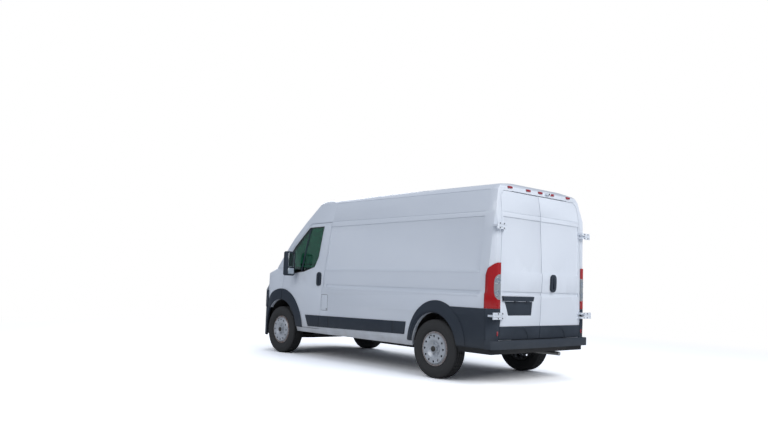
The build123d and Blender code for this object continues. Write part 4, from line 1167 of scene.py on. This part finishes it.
@dataclass
class CabGlazing:
    """Rubber round the cab glass and the bar behind the quarter light."""

    # width and height of the rubber on the doors and on the windscreen
    door_rubber: Pair = (0.013, 0.0025)
    screen_rubber: Pair = (0.022, 0.002)
    # X and Z of the bar's head and foot
    bar: tuple[Pair, Pair] = ((1.093, 2.002), (1.242, 1.331))
    bar_width: float = 0.034
    bar_height: float = 0.006

    def build(self, frame: Surroundings) -> None:
        """Dress both doors and the windscreen."""
        for side, name, body in CAB_DOORS:
            glass = frame.nodes[f"cab_door_glass_{name}"]
            rubber = border(glass, f"window_rubber_{name}", (0, side, 0), *self.door_rubber)
            complete(rubber, RUBBER_AND_GAP_SHADE, body, "seal_rubber")
            ends = [(x, side * BESIDE, z) for x, z in self.bar]
            bar = strip(f"quarter_light_bar_{name}", ends, self.bar_width, glass, (0, side, 0), self.bar_height)
            complete(bar, GRAINED_PP, body, "dark_plastic", 0.0015)
        screen = border(frame.nodes["windscreen"], "windscreen_rubber", SCREEN_OUT, *self.screen_rubber)
        complete(screen, RUBBER_AND_GAP_SHADE, Body.CHASSIS, "seal_rubber")


@dataclass
class DoorHandles:
    """Pulls that bridge the dark plates of the doors."""

    width: float = 0.030
    depth: float = 0.016
    height: float = 0.130
    sunk: float = 0.003
    # name, node, a place outside the plate, direction that it faces, body
    pulls: tuple[tuple[str, str, Point, tuple[int, int, int], Body], ...] = (
        ("cab_door_pull_left", "cab_door_trim_left", (0.758, 1.4, 1.212), (0, 1, 0), Body.CAB_DOOR_LEFT),
        ("cab_door_pull_right", "cab_door_trim_right", (0.758, -1.4, 1.212), (0, -1, 0), Body.CAB_DOOR_RIGHT),
        ("sliding_door_pull", "sliding_door_trim", (0.465, -1.4, 1.212), (0, -1, 0), Body.CHASSIS),
        ("rear_door_pull", "rear_door_trim_right", (-FAR, -0.186, 1.258), (-1, 0, 0), Body.REAR_DOOR_RIGHT))

    def build(self, frame: Surroundings) -> None:
        """Stand a pull on each plate."""
        for name, node, start, facing, body in self.pulls:
            out = Vector(facing)
            place = frame.hit(node, start, -out) + out * (self.depth / 2 - self.sunk)
            across = out.cross(Vector((0, 0, 1)))
            size = [abs(across[at]) * self.width + abs(out[at]) * self.depth for at in range(2)] + [self.height]
            piece = block(name, place, size)
            with Shaping(piece) as edit:
                edit.faces(lambda at, normal: abs(normal.z) > LOOKS)
                edit.inset(0.003, 0.010)
            trim(piece, out, (0.006, 0.003), (0.004, -0.0015))
            complete(piece, GRAINED_PP, body, "dark_plastic", 0.003, 3)


@dataclass
class MirrorHead:
    """Two mirror glasses and the side indicator in each dark housing."""

    rear_x: float = 1.315
    middle_y: float = 1.163
    width: float = 0.112
    thickness: float = 0.004
    # name, lowest edge, height
    glasses: tuple[tuple[str, float, float], ...] = (("main", 1.392, 0.215), ("wide", 1.276, 0.096))
    indicator: Pair = (1.370, 1.400)
    indicator_size: Point = (0.022, 0.004, 0.120)
    indicator_sunk: float = 0.0021

    def build(self, frame: Surroundings) -> None:
        """Fit both mirrors."""
        x, z = self.indicator
        for side, name, body in CAB_DOORS:
            for part, base, tall in self.glasses:
                piece = block(f"mirror_{part}_glass_{name}", (self.rear_x, side * self.middle_y, base + tall / 2),
                              (self.thickness, self.width, tall))
                trim(piece, (-1, 0, 0), (0.004, 0.0015), (0.002, -0.002))
                complete(piece, MIRROR_GLASS, body, "glazing", 0.001)
            place = frame.hit(f"mirror_{name}", (x, side * 1.5, z), (0, -side, 0))
            lens = block(f"side_indicator_{name}", place - Vector((0, side * self.indicator_sunk, 0)),
                         self.indicator_size)
            trim(lens, (0, side, 0), (0.003, 0.0))
            complete(lens, INDICATOR_LENS, body, "lamp_clear", 0.0008)


@dataclass
class LampBowls:
    """Bright fluted bowls with their bulbs, on the clear fields of the lamps."""

    rim: float = 0.004
    lip: float = 0.004
    bulb_radius: float = 0.011
    height: float = 0.0015
    sides: int = 48
    bulb_rings: Pair = (0.003, 0.004)
    rim_rise: float = 0.002
    bulb_rise: float = 0.003
    # name, node, distance from the middle plane, height, radius, side that the lamp faces along X
    bowls: tuple[tuple[str, str, float, float, float, int], ...] = (
        ("tail_lamp_bowl_upper", "tail_lamps", 0.916, 1.262, 0.044, -1),
        ("tail_lamp_bowl_lower", "tail_lamps", 0.916, 1.118, 0.041, -1),
        ("headlamp_bowl_outer", "headlamps", 0.792, 1.115, 0.048, 1),
        ("headlamp_bowl_inner", "headlamps", 0.712, 1.050, 0.040, 1))

    def build(self, frame: Surroundings) -> None:
        """Lay every bowl on its lens, left and right."""
        for name, node, across, height, radius, facing in self.bowls:
            for side, hand in SIDES:
                place = frame.hit(node, (facing * FAR, side * across, height), (-facing, 0, 0))
                self.bowl(f"{name}_{hand}", frame.nodes[node], place, radius, facing)

    def bowl(self, name: str, lens: Piece, place: Vector, radius: float, facing: int) -> None:
        """Lay one bowl that follows its lens, with a raised rim, a dished wall and a bulb.

        Args:
            name: the piece's name.
            lens: the lamp node under it.
            place: its middle on the lens.
            radius: its radius.
            facing: -1 if it looks back, 1 if it looks ahead.
        """
        clear_selection()
        bpy.ops.mesh.primitive_circle_add(vertices=self.sides, radius=radius, fill_type="NGON", location=tuple(place),
                                          rotation=(0, facing * math.pi / 2, 0))
        piece = settle(bpy.context.object, name)
        wall = (radius - self.rim - self.lip - self.bulb_radius) / 3
        with Shaping(piece) as edit:
            for width in (self.rim, self.lip, wall, wall, wall, *self.bulb_rings):
                edit.faces(lambda at, normal: (at - place).length < 0.002)
                edit.inset(width)
        lay_on(piece, lens, 0, self.height)

        def outer(at: Vector, normal: Vector) -> float:
            """Distance from the bowl's axis of a face on its shown side."""
            return math.hypot(at.y - place.y, at.z - place.z) if normal.x * facing > 0.5 else math.nan

        with Shaping(piece) as edit:
            edit.faces(lambda at, normal: outer(at, normal) > radius - self.rim)
            edit.swell(self.rim_rise)
            edit.faces(lambda at, normal: outer(at, normal) < self.bulb_radius)
            edit.swell(self.bulb_rise)
        complete(piece, BRIGHT_BOWL, Body.CHASSIS, "lamp_clear", 0.0004)


@dataclass
class RearReflectors:
    """Upright red reflectors low on the rear bumper's corners."""

    size: Point = (0.010, 0.026, 0.052)
    offset_y: float = 0.905
    height_z: float = 0.632

    def build(self, frame: Surroundings) -> None:
        """Seat one reflector on each corner."""
        for side, name in SIDES:
            place = frame.behind("rear_bumper", side * self.offset_y, self.height_z)
            piece = block(f"rear_reflector_{name}", place, self.size)
            trim(piece, (-1, 0, 0), (0.003, 0.0), (0.0012, -0.001))
            complete(piece, MARKER_ACRYLIC, Body.CHASSIS, "lamp_red", 0.0012)


@dataclass
class RearCamera:
    """White housing of the reversing camera under the roof markers."""

    size: Point = (0.070, 0.105, 0.052)
    offset_y: float = -0.153
    height_z: float = 2.438
    # the housing's narrower rear face: its share in Y and Z, and how far it droops
    taper: Pair = (0.72, 0.6)
    droop: float = 0.012
    out: float = 0.008
    lens_out: float = 0.040
    lens_radius: float = 0.011
    lens_length: float = 0.010

    def build(self, frame: Surroundings) -> None:
        """Seat the housing on the rear header and its lens in the housing."""
        place = frame.behind("roof_shell", self.offset_y, self.height_z)
        low = Vector((0, 0, -self.droop))
        piece = block("rear_camera_housing", place - Vector((self.out, 0, 0)), self.size)
        with Shaping(piece) as edit:
            edit.looking((-1, 0, 0))
            bpy.ops.transform.resize(value=(1, *self.taper), center_override=tuple(place + low))
            edit.inset(0.006, -0.004)
        complete(piece, WHITE_ENAMEL, Body.CHASSIS, "white_paint", 0.006, 3)
        lens = drum("rear_camera_lens", place + low - Vector((self.lens_out, 0, 0)), self.lens_radius,
                    self.lens_length, (-1, 0, 0), 28)
        trim(lens, (-1, 0, 0), (0.003, -0.002), (0.003, 0.0015))
        complete(lens, DARK_LENS, Body.CHASSIS, "dark_plastic", 0.0008)


@dataclass
class HingePins:
    """Dark bolts that show on the rear doors' white hinges."""

    bolt_radius: float = 0.008
    bolt_length: float = 0.008
    rows: Pair = (0.843, 1.922)
    rises: Pair = (-0.028, 0.028)
    columns: Pair = (0.885, 0.965)

    def build(self, frame: Surroundings) -> None:
        """Put four bolts on each hinge."""
        for side, name, body in REAR_DOORS:
            made = []
            for height, across in [(row + rise, y) for row in self.rows for rise in self.rises for y in self.columns]:
                place = frame.behind(f"rear_door_{name}", side * across, height)
                bolt = drum("bolt", place, self.bolt_radius, self.bolt_length, (-1, 0, 0), 12)
                made.append(trim(bolt, (-1, 0, 0), (0.002, 0.0), (0.001, -0.0015)))
            complete(join(made, f"hinge_bolts_{name}"), CHASSIS_PAINT, body, "chassis_paint", 0.0006)


@dataclass
class PlateField:
    """Lights under the dark bar of the left rear door and the two screw bosses in the field below."""

    columns: Pair = (0.345, 0.585)
    bar_z: float = 1.045
    light_z: float = 1.0195
    light_in: float = 0.010
    light_size: Point = (0.016, 0.052, 0.010)
    boss_z: float = 0.985
    boss_radius: float = 0.007
    boss_length: float = 0.006

    def build(self, frame: Surroundings) -> None:
        """Seat the lights on the bar and the bosses on the field."""
        for number, across in enumerate(self.columns):
            place = frame.behind("rear_door_trim_left", across, self.bar_z)
            light = block(f"plate_light_{number}", (place.x + self.light_in, across, self.light_z), self.light_size)
            trim(light, (0, 0, -1), (0.003, 0.002))
            complete(light, CLEAR_POLYCARBONATE, Body.REAR_DOOR_LEFT, "lamp_clear", 0.001)
            place = frame.behind("rear_door_trim_left", across, self.boss_z)
            screw = drum(f"plate_boss_{number}", place, self.boss_radius, self.boss_length, (-1, 0, 0), 20)
            trim(screw, (-1, 0, 0), (0.003, -0.0015))
            complete(screw, GRAINED_PP, Body.REAR_DOOR_LEFT, "dark_plastic", 0.0008)


@dataclass
class StepTread:
    """Raised grip bars on top of the rear step."""

    bars: int = 3
    first: float = 0.020
    pitch: float = 0.022
    half_width: float = 0.82
    bar: float = 0.008
    height: float = 0.005
    # half width of the plain middle, which is left without a raised strip
    plain_half: float = 0.28

    def build(self, frame: Surroundings) -> None:
        """Lay the bars on the step's top face."""
        made = []
        for number in range(self.bars):
            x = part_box("rear_bumper")[0].x + self.first + number * self.pitch
            place = frame.hit("rear_bumper", (x, 0, 1.2), (0, 0, -1))
            piece = block("grip", (x, 0, place.z), (self.bar, 2 * self.half_width, self.height))
            with Shaping(piece) as edit:
                for y in (self.plain_half, -self.plain_half):
                    edit.cut((x, y, 0), (0, 1, 0))
                edit.faces(lambda at, normal: normal.z > LOOKS and abs(at.y) > 0.2)
                edit.inset(0.0015, 0.0015)
            made.append(piece)
        complete(join(made, "step_grip_bars"), GRAINED_PP, Body.CHASSIS, "dark_plastic", 0.0008)


@dataclass
class Wipers:
    """Two blades parked across the foot of the windscreen, with their pivots."""

    pivots: Pair = (0.50, -0.12)
    # height on the glass of each blade's pivot and tip
    rows: Pair = (1.425, 1.470)
    ahead: float = 2.9
    lift: Point = (0.05, 0, 0.02)
    blade: Pair = (0.60, 0.016)
    blade_height: float = 0.012
    pivot_shift: Point = (0.008, 0, 0.004)
    pivot_radius: float = 0.018
    pivot_length: float = 0.030

    def build(self, frame: Surroundings) -> None:
        """Lay each blade on the glass."""
        long, width = self.blade
        for number, across in enumerate(self.pivots):
            foot, tip = [frame.hit("windscreen", (self.ahead, y, z), (-1, 0, 0))
                         for y, z in zip((across, across - long), self.rows)]
            ends = [place + Vector(self.lift) for place in (foot, tip)]
            blade = strip(f"wiper_blade_{number}", ends, width, frame.nodes["windscreen"], SCREEN_OUT,
                          self.blade_height)
            complete(blade, RUBBER_AND_GAP_SHADE, Body.CHASSIS, "seal_rubber", 0.002)
            pivot = drum(f"wiper_pivot_{number}", foot + Vector(self.pivot_shift), self.pivot_radius,
                         self.pivot_length, SCREEN_OUT, 24)
            with Shaping(pivot) as edit:
                edit.faces(lambda at, normal: normal.z > 0.5)
                edit.inset(0.004, 0.003)
            complete(pivot, GRAINED_PP, Body.CHASSIS, "dark_plastic", 0.002)


@dataclass
class BumperShoulders:
    """Dark skin that wraps round each front corner between the headlamp and the bumper."""

    axis: Pair = (2.150, 0.450)
    # turn about the axis at the grille and at the arch flare, in degrees from straight ahead
    turn: Pair = (24.8, 82.5)
    rows: Pair = (0.702, 0.992)
    step_z: float = 0.800
    head_drop: float = 0.007
    offset: float = 0.003
    thickness: float = 0.006
    cells: tuple[int, int] = (40, 16)
    carriers: tuple[str, ...] = ("wing_left", "front_bumper", "headlamps")

    def build(self, frame: Surroundings) -> None:
        """Wrap the left corner and mirror it."""
        near, far = self.turn
        low, high = self.rows

        def place(along: float, across: float) -> Vector:
            """Place on the skin at a share of its turn and of its height."""
            turn = math.radians(far + (near - far) * along)
            out = Vector((math.cos(turn), math.sin(turn), 0))
            foot = max(self.outermost(frame, z, out) for z in (low, self.step_z))
            head = self.outermost(frame, high - self.head_drop, out)
            reach = foot + (head - foot) * across + self.offset
            return Vector((*self.axis, low + (high - low) * across)) + out * reach

        piece = swept("bumper_shoulder_left", self.cells, place)
        modify(piece, "SMOOTH", factor=0.5, iterations=3)
        thicken(piece, self.thickness)
        complete(piece, GRAINED_PP, Body.CHASSIS, "dark_plastic", 0.0015)
        copied(piece, "bumper_shoulder_right", Body.CHASSIS, MIRROR)

    def outermost(self, frame: Surroundings, height: float, out: Vector) -> float:
        """Find how far the carriers reach from the axis.

        Args:
            frame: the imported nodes.
            height: the height at which they are met.
            out: the direction away from the axis.

        Returns:
            The greatest distance, or nothing if none is met.
        """
        axis = Vector((*self.axis, height))
        hits = [frame.nodes[name].ray_cast(axis + out * BESIDE, -out) for name in self.carriers]
        return max([0.0] + [(hit[1] - axis).length for hit in hits if hit[0]])


@dataclass
class RadiatorCore:
    """Finned core that shows through the grille and the lower intake."""

    middle: Point = (2.470, 0.0, 0.590)
    size: Point = (0.036, 1.200, 0.580)
    rows: int = 36
    frame_width: float = 0.022
    margin: float = 0.03

    def build(self, frame: Surroundings) -> None:
        """Cut the fins into the front of one core."""
        piece = block("radiator_core", self.middle, self.size)
        _, wide, tall = self.size
        z = self.middle[2]
        with Shaping(piece) as edit:
            edit.looking((1, 0, 0))
            edit.inset(self.frame_width)
            edit.inset(0.002, -0.006)
            for row in range(1, self.rows):
                edit.cut((0, 0, z - tall / 2 + tall * row / self.rows), (0, 0, 1))
            edit.faces(lambda at, normal: normal.x > LOOKS and abs(at.y) < wide / 2 - self.margin
                       and abs(at.z - z) < tall / 2 - self.margin)
            edit.inset(0.0025, -0.004, each=True)
        complete(piece, CHASSIS_PAINT, Body.CHASSIS, "chassis_paint")


@dataclass
class DoorCards:
    """Moulded inner panels of the cab doors, with an armrest and a pocket."""

    middle: Pair = (1.225, 0.905)
    size: Point = (0.700, 0.012, 0.560)
    inside_y: float = 0.55
    # the armrest and the pocket: shift along X, distance from the door, Z
    rest: Point = (-0.06, 0.040, 1.045)
    rest_size: Point = (0.360, 0.070, 0.055)
    pocket: Point = (0.0, 0.034, 0.715)
    pocket_size: Point = (0.520, 0.060, 0.120)

    def build(self, frame: Surroundings) -> None:
        """Line both doors."""
        x, z = self.middle
        up = (0, 0, 1)
        for side, name, body in CAB_DOORS:
            place = frame.hit(f"cab_door_{name}", (x, side * self.inside_y, z), (0, side, 0))
            card = block(f"door_card_{name}", place - Vector((0, side * self.size[1] / 2, 0)), self.size)
            trim(card, (0, -side, 0), (0.018, 0.003), (0.040, -0.002))
            rest, pocket = [block("part", (x + shift, place.y - side * off, height), size)
                            for (shift, off, height), size in ((self.rest, self.rest_size),
                                                               (self.pocket, self.pocket_size))]
            trim(rest, up, (0.012, -0.004))
            trim(pocket, up, (0.008, 0.0), (0.001, -0.090))
            complete(join([card, rest, pocket], card.name), DASH_SKIN, body, "dark_plastic", 0.004)


@dataclass
class SeatBelts:
    """Webbing that runs from each pillar's guide down to its reel."""

    width: float = 0.047
    thickness: float = 0.0015
    # guide on the pillar and reel beside the seat
    guide: Point = (0.640, 0.845, 1.640)
    reel: Point = (0.660, 0.865, 0.760)
    hook_shift: Pair = (0.012, 0.010)
    hook_size: Point = (0.070, 0.040, 0.036)

    def build(self, frame: Surroundings) -> None:
        """Hang a belt by each seat."""
        for side, name in SIDES:
            top, foot = [Vector((x, side * y, z)) for x, y, z in (self.guide, self.reel)]
            long = top.z - foot.z
            belt = block(f"seat_belt_{name}", (0, 0, 0), (self.width, self.thickness, long))
            with Shaping(belt) as edit:
                edit.faces(lambda at, normal: abs(normal.y) > LOOKS)
                edit.inset(0.002, 0.0004)
            lean = Matrix.Rotation(math.atan2(foot.y - top.y, long), 4, "X")
            belt.data.transform(Matrix.Translation((top + foot) / 2) @ lean)
            complete(belt, WEBBING, Body.CHASSIS, "seat_cloth")
            y, z = self.hook_shift
            hook = block(f"belt_guide_{name}", top + Vector((0, side * y, z)), self.hook_size)
            trim(hook, (0, -side, 0), (0.006, 0.003))
            complete(hook, DASH_SKIN, Body.CHASSIS, "dark_plastic", 0.006)


@dataclass
class RearArchFlare:
    """Moulded rear arch flare: the band between the wheel opening and a wider half-ellipse."""

    # centre X, centre Z, half width, rise
    opening: tuple[float, float, float, float] = (-1.6915, 0.372, 0.410, 0.474)
    outer: tuple[float, float, float, float] = (-1.745, 0.372, 0.490, 0.606)
    foot: float = 0.086
    height: float = 0.008
    cells: tuple[int, int] = (72, 8)

    def build(self, frame: Surroundings, side: int, name: str) -> None:
        """Bend the band round one arch and lay it on the cladding.

        Args:
            frame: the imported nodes.
            side: 1 for the left, -1 for the right.
            name: that side's name.
        """
        def place(along: float, across: float) -> Point:
            """Place beside the arch at a share of its turn and of the band's width."""
            share = across if side > 0 else 1 - across
            near, far = [self.edge(ellipse, math.pi * along) for ellipse in (self.opening, self.outer)]
            x, z = [(1 - share) * inner + share * outer for inner, outer in zip(near, far)]
            return (x, side * BESIDE, z)

        piece = swept(f"rear_arch_flare_{name}", self.cells, place)
        lay_on(piece, frame.nodes[f"side_cladding_{name}"], 1, self.height)
        complete(piece, GRAINED_PP, Body.CHASSIS, "dark_plastic", 0.004, 3)

    def edge(self, ellipse: tuple[float, float, float, float], turn: float) -> Pair:
        """Point of one edge at an angle, with its feet run down to the sill."""
        x, z, half, rise = ellipse
        return (x + half * math.cos(turn), z + self.foot + (rise - self.foot) * math.sin(turn))


@dataclass
class SidePressings:
    """Arch flares, painted shade in the seams of the rubbing strip, and the pressed beads and painted shade round the
    fuel flap of the left side.
    """

    flare: RearArchFlare
    seams: Pair = (0.473, -0.951)
    # rows in which the strip is looked for, and how many
    seam_rows: Pair = (0.430, 0.720)
    seam_steps: int = 60
    seam_inset: float = 0.002
    # width and height of the painted shade strip in a seam, and of the painted shade round the flap
    seam: Pair = (0.005, 0.0006)
    gap: Pair = (0.004, 0.0005)
    # name, rear end, front end: X and Z; width, height
    beads: tuple[tuple[str, Pair, Pair, float, float], ...] = (
        ("side_recess_bead_left", (-2.425, 1.366), (0.606, 1.349), 0.020, 0.005),
        ("side_belt_bead_left", (-2.425, 1.072), (0.585, 1.072), 0.018, 0.0035))
    bead_cuts: int = 40
    # middle X and Z, width and height of the fuel flap
    flap: tuple[float, float, float, float] = (0.593, 0.859, 0.150, 0.238)

    def build(self, frame: Surroundings) -> None:
        """Dress both sides; only the left has the beads and the fuel flap."""
        for side, name in SIDES:
            self.flare.build(frame, side, name)
            self.lay_seam_shade(frame.nodes[f"side_cladding_{name}"], side, name)
            if side > 0:
                self.pressed_beads(frame.nodes["side_panel_left"])
        self.flap_gap(frame.nodes["side_panel_left"])

    def lay_seam_shade(self, cladding: Piece, side: int, name: str) -> None:
        """Lay thin dark strips as painted shade in the seams of one side's rubbing strip, where the strip is met.

        Args:
            cladding: the node that carries the strip.
            side: 1 for the left, -1 for the right.
            name: that side's name.
        """
        low, high = self.seam_rows
        rows = [low + (high - low) * at / self.seam_steps for at in range(self.seam_steps + 1)]
        width, height = self.seam
        for number, x in enumerate(self.seams):
            met = [z for z in rows if cladding.ray_cast(Vector((x, side * 1.3, z)), Vector((0, -side, 0)))[0]]
            if met:
                ends = [(x, side * BESIDE, z) for z in (met[0] + self.seam_inset, met[-1] - self.seam_inset)]
                # a thin dark strip as painted shade in the seam's groove
                seam = strip(f"strip_seam_{name}_{number}", ends, width, cladding, (0, side, 0), height)
                complete(seam, RUBBER_AND_GAP_SHADE, Body.CHASSIS, "seal_rubber")

    def pressed_beads(self, panel: Piece) -> None:
        """Raise the beads under the recess and along the belt."""
        for name, rear, front, width, height in self.beads:
            ends = [(x, BESIDE, z) for x, z in (rear, front)]
            bead = strip(name, ends, width, panel, (0, 1, 0), height, self.bead_cuts)
            complete(bead, WHITE_ENAMEL, Body.CHASSIS, "white_paint", 0.003, 3)

    def flap_gap(self, panel: Piece) -> None:
        """Lay thin dark strips as painted shade in the gap round the fuel flap."""
        x, z, wide, tall = self.flap
        width, height = self.gap
        corners = [(x + across * wide / 2, BESIDE, z + up * tall / 2)
                   for across, up in ((-1, -1), (1, -1), (1, 1), (-1, 1))]
        # thin dark strips as painted shade in the gap round the flap
        made = [strip("gap", ends, width, panel, (0, 1, 0), height)
                for ends in zip(corners, corners[1:] + corners[:1])]
        complete(join(made, "fuel_flap_gap_shade"), RUBBER_AND_GAP_SHADE, Body.CHASSIS, "seal_rubber")


@dataclass
class FuelFlap:
    """Small lock at the lower rear corner of the fuel flap."""

    place: Pair = (0.540, 0.762)
    radius: float = 0.010
    height: float = 0.004

    def build(self, frame: Surroundings) -> None:
        """Seat the lock on the body side."""
        x, z = self.place
        lock = drum("fuel_flap_lock", frame.hit("side_panel_left", (x, 1.4, z), (0, -1, 0)), self.radius,
                    self.height, (0, 1, 0), 24)
        trim(lock, (0, 1, 0), (0.002, 0.0), (0.0015, -0.001))
        complete(lock, RUBBER_AND_GAP_SHADE, Body.CHASSIS, "dark_plastic", 0.0005)


@dataclass
class SeatPart:
    """One stuffed part of a cab seat: a shaped block that is filled like foam in cloth."""

    label: str
    middle: Point
    size: Point
    lean: float = 0.0
    bolster: float = 0.0
    face: tuple[int, int, int] = (0, 0, 1)
    pressure: float = 4.0
    limit: float = 0.022
    grid: float = 0.009
    edge: float = 0.018
    bolster_width: float = 0.095
    frames: int = 20

    def build(self, offset_y: float) -> Piece:
        """Model and fill the part.

        Args:
            offset_y: the seat's place across the cab.

        Returns:
            The shaped piece, not yet on a body.
        """
        piece = block(self.label, (0, 0, 0), self.size)
        if self.bolster:
            self.raise_bolsters(piece)
        modify(piece, "BEVEL", width=self.edge, segments=3)
        modify(piece, "REMESH", mode="VOXEL", voxel_size=self.grid)
        apply_modifiers(piece)
        self.stuff(piece)
        modify(piece, "SUBSURF", levels=1)
        apply_modifiers(piece)
        turn = Matrix.Rotation(math.radians(self.lean), 4, "Y")
        piece.data.transform(Matrix.Translation(Vector(self.middle) + Vector((0, offset_y, 0))) @ turn)
        return piece

    def raise_bolsters(self, piece: Piece) -> None:
        """Cut the sewn panel lines and raise the bolsters outside them."""
        out = Vector(self.face)
        line = self.size[1] / 2 - self.bolster_width
        with Shaping(piece) as edit:
            for y in (line, -line):
                edit.cut((0, y, 0), (0, 1, 0))
            edit.faces(lambda at, normal: normal.dot(out) > LOOKS and abs(at.y) > line)
            edit.swell(self.bolster)
            edit.faces(lambda at, normal: normal.dot(out) > LOOKS and abs(at.y) < line)
            edit.inset(0.012, -0.008)
            edit.inset(0.012, 0.010)

    def stuff(self, piece: Piece) -> None:
        """Blow the cover up like foam in cloth and cap how far it moves."""
        before = [vertex.co.copy() for vertex in piece.data.vertices]
        cloth = modify(piece, "CLOTH")
        cloth.settings.use_pressure = True
        cloth.settings.uniform_pressure_force = self.pressure
        cloth.settings.effector_weights.gravity = 0.0
        cloth.settings.quality = 4
        cloth.point_cache.frame_start = 1
        cloth.point_cache.frame_end = self.frames
        for number in range(1, self.frames + 1):
            bpy.context.scene.frame_set(number)
        apply_modifiers(piece)
        bpy.context.scene.frame_set(1)
        for vertex, start in zip(piece.data.vertices, before):
            move = vertex.co - start
            if move.length > self.limit:
                vertex.co = start + move.normalized() * self.limit


@dataclass
class CabSeats:
    """Two cloth seats on moulded bases, with their headrest posts."""

    offsets: Pair = (0.48, -0.48)
    fill: float = 0.8
    parts: tuple[SeatPart, ...] = (
        SeatPart("seat_cushion", (1.040, 0, 0.893), (0.500, 0.460, 0.088), bolster=0.016),
        SeatPart("seat_back", (0.727, 0, 1.285), (0.075, 0.460, 0.600), -12.9, 0.016, (1, 0, 0)),
        SeatPart("seat_headrest", (0.630, 0, 1.695), (0.056, 0.225, 0.190), -12.0, limit=0.012, pressure=3.0))
    base: Pair = (1.020, 0.685)
    base_size: Point = (0.460, 0.440, 0.300)
    post: Pair = (0.655, 1.600)
    post_offset: float = 0.055
    post_radius: float = 0.007
    post_length: float = 0.120
    post_lean: Point = (-0.21, 0, 0.98)

    def build(self, frame: Surroundings) -> None:
        """Model one seat and copy it to the other side."""
        left, right = self.offsets
        across = Matrix.Translation((0, right - left, 0))
        for part in self.parts:
            piece = part.build(left)
            piece.name = f"{part.label}_left"
            complete(piece, SEAT_CLOTH, Body.CHASSIS, "seat_cloth")
            for made in (piece, copied(piece, f"{part.label}_right", Body.CHASSIS, across)):
                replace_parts(made, "seats")
        base = block("seat_base_left", (self.base[0], left, self.base[1]), self.base_size)
        with Shaping(base) as edit:
            edit.faces(lambda at, normal: abs(normal.z) < 0.1)
            edit.inset(0.035, -0.012, each=True)
            edit.inset(0.010, 0.0, each=True)
        complete(base, DASH_SKIN, Body.CHASSIS, "dark_plastic", 0.006)
        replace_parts(base, "seats")
        posts = []
        for aside in (-self.post_offset, self.post_offset):
            post = drum("post", (self.post[0], left + aside, self.post[1]), self.post_radius, self.post_length,
                        self.post_lean, 16)
            posts.append(trim(post, (0, 0, 1), (0.001, 0.001)))
        rail = complete(join(posts, "headrest_posts_left"), CHASSIS_PAINT, Body.CHASSIS, "chassis_paint", 0.0005)
        for made, name in ((base, "seat_base_right"), (rail, "headrest_posts_right")):
            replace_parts(copied(made, name, Body.CHASSIS, across), "seats")


def main() -> None:
    """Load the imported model, dress it and set the studio."""
    logging.basicConfig(level=logging.INFO, format="%(name)s: %(message)s")
    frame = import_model()
    Paintwork(frame["nodes"]).build()
    around = Surroundings(frame["nodes"])
    for group in (Tyre(), WheelFittings(), CabGlazing(), DoorHandles(), MirrorHead(), LampBowls(),
                  RearReflectors(), RearCamera(), HingePins(), PlateField(), StepTread(), Wipers(),
                  BumperShoulders(), RadiatorCore(), DoorCards(), SeatBelts(), SidePressings(RearArchFlare()),
                  FuelFlap(), CabSeats()):
        group.build(around)
        log.info("%s fitted", type(group).__name__)
    Studio().build()


if __name__ == "__main__":
    main()
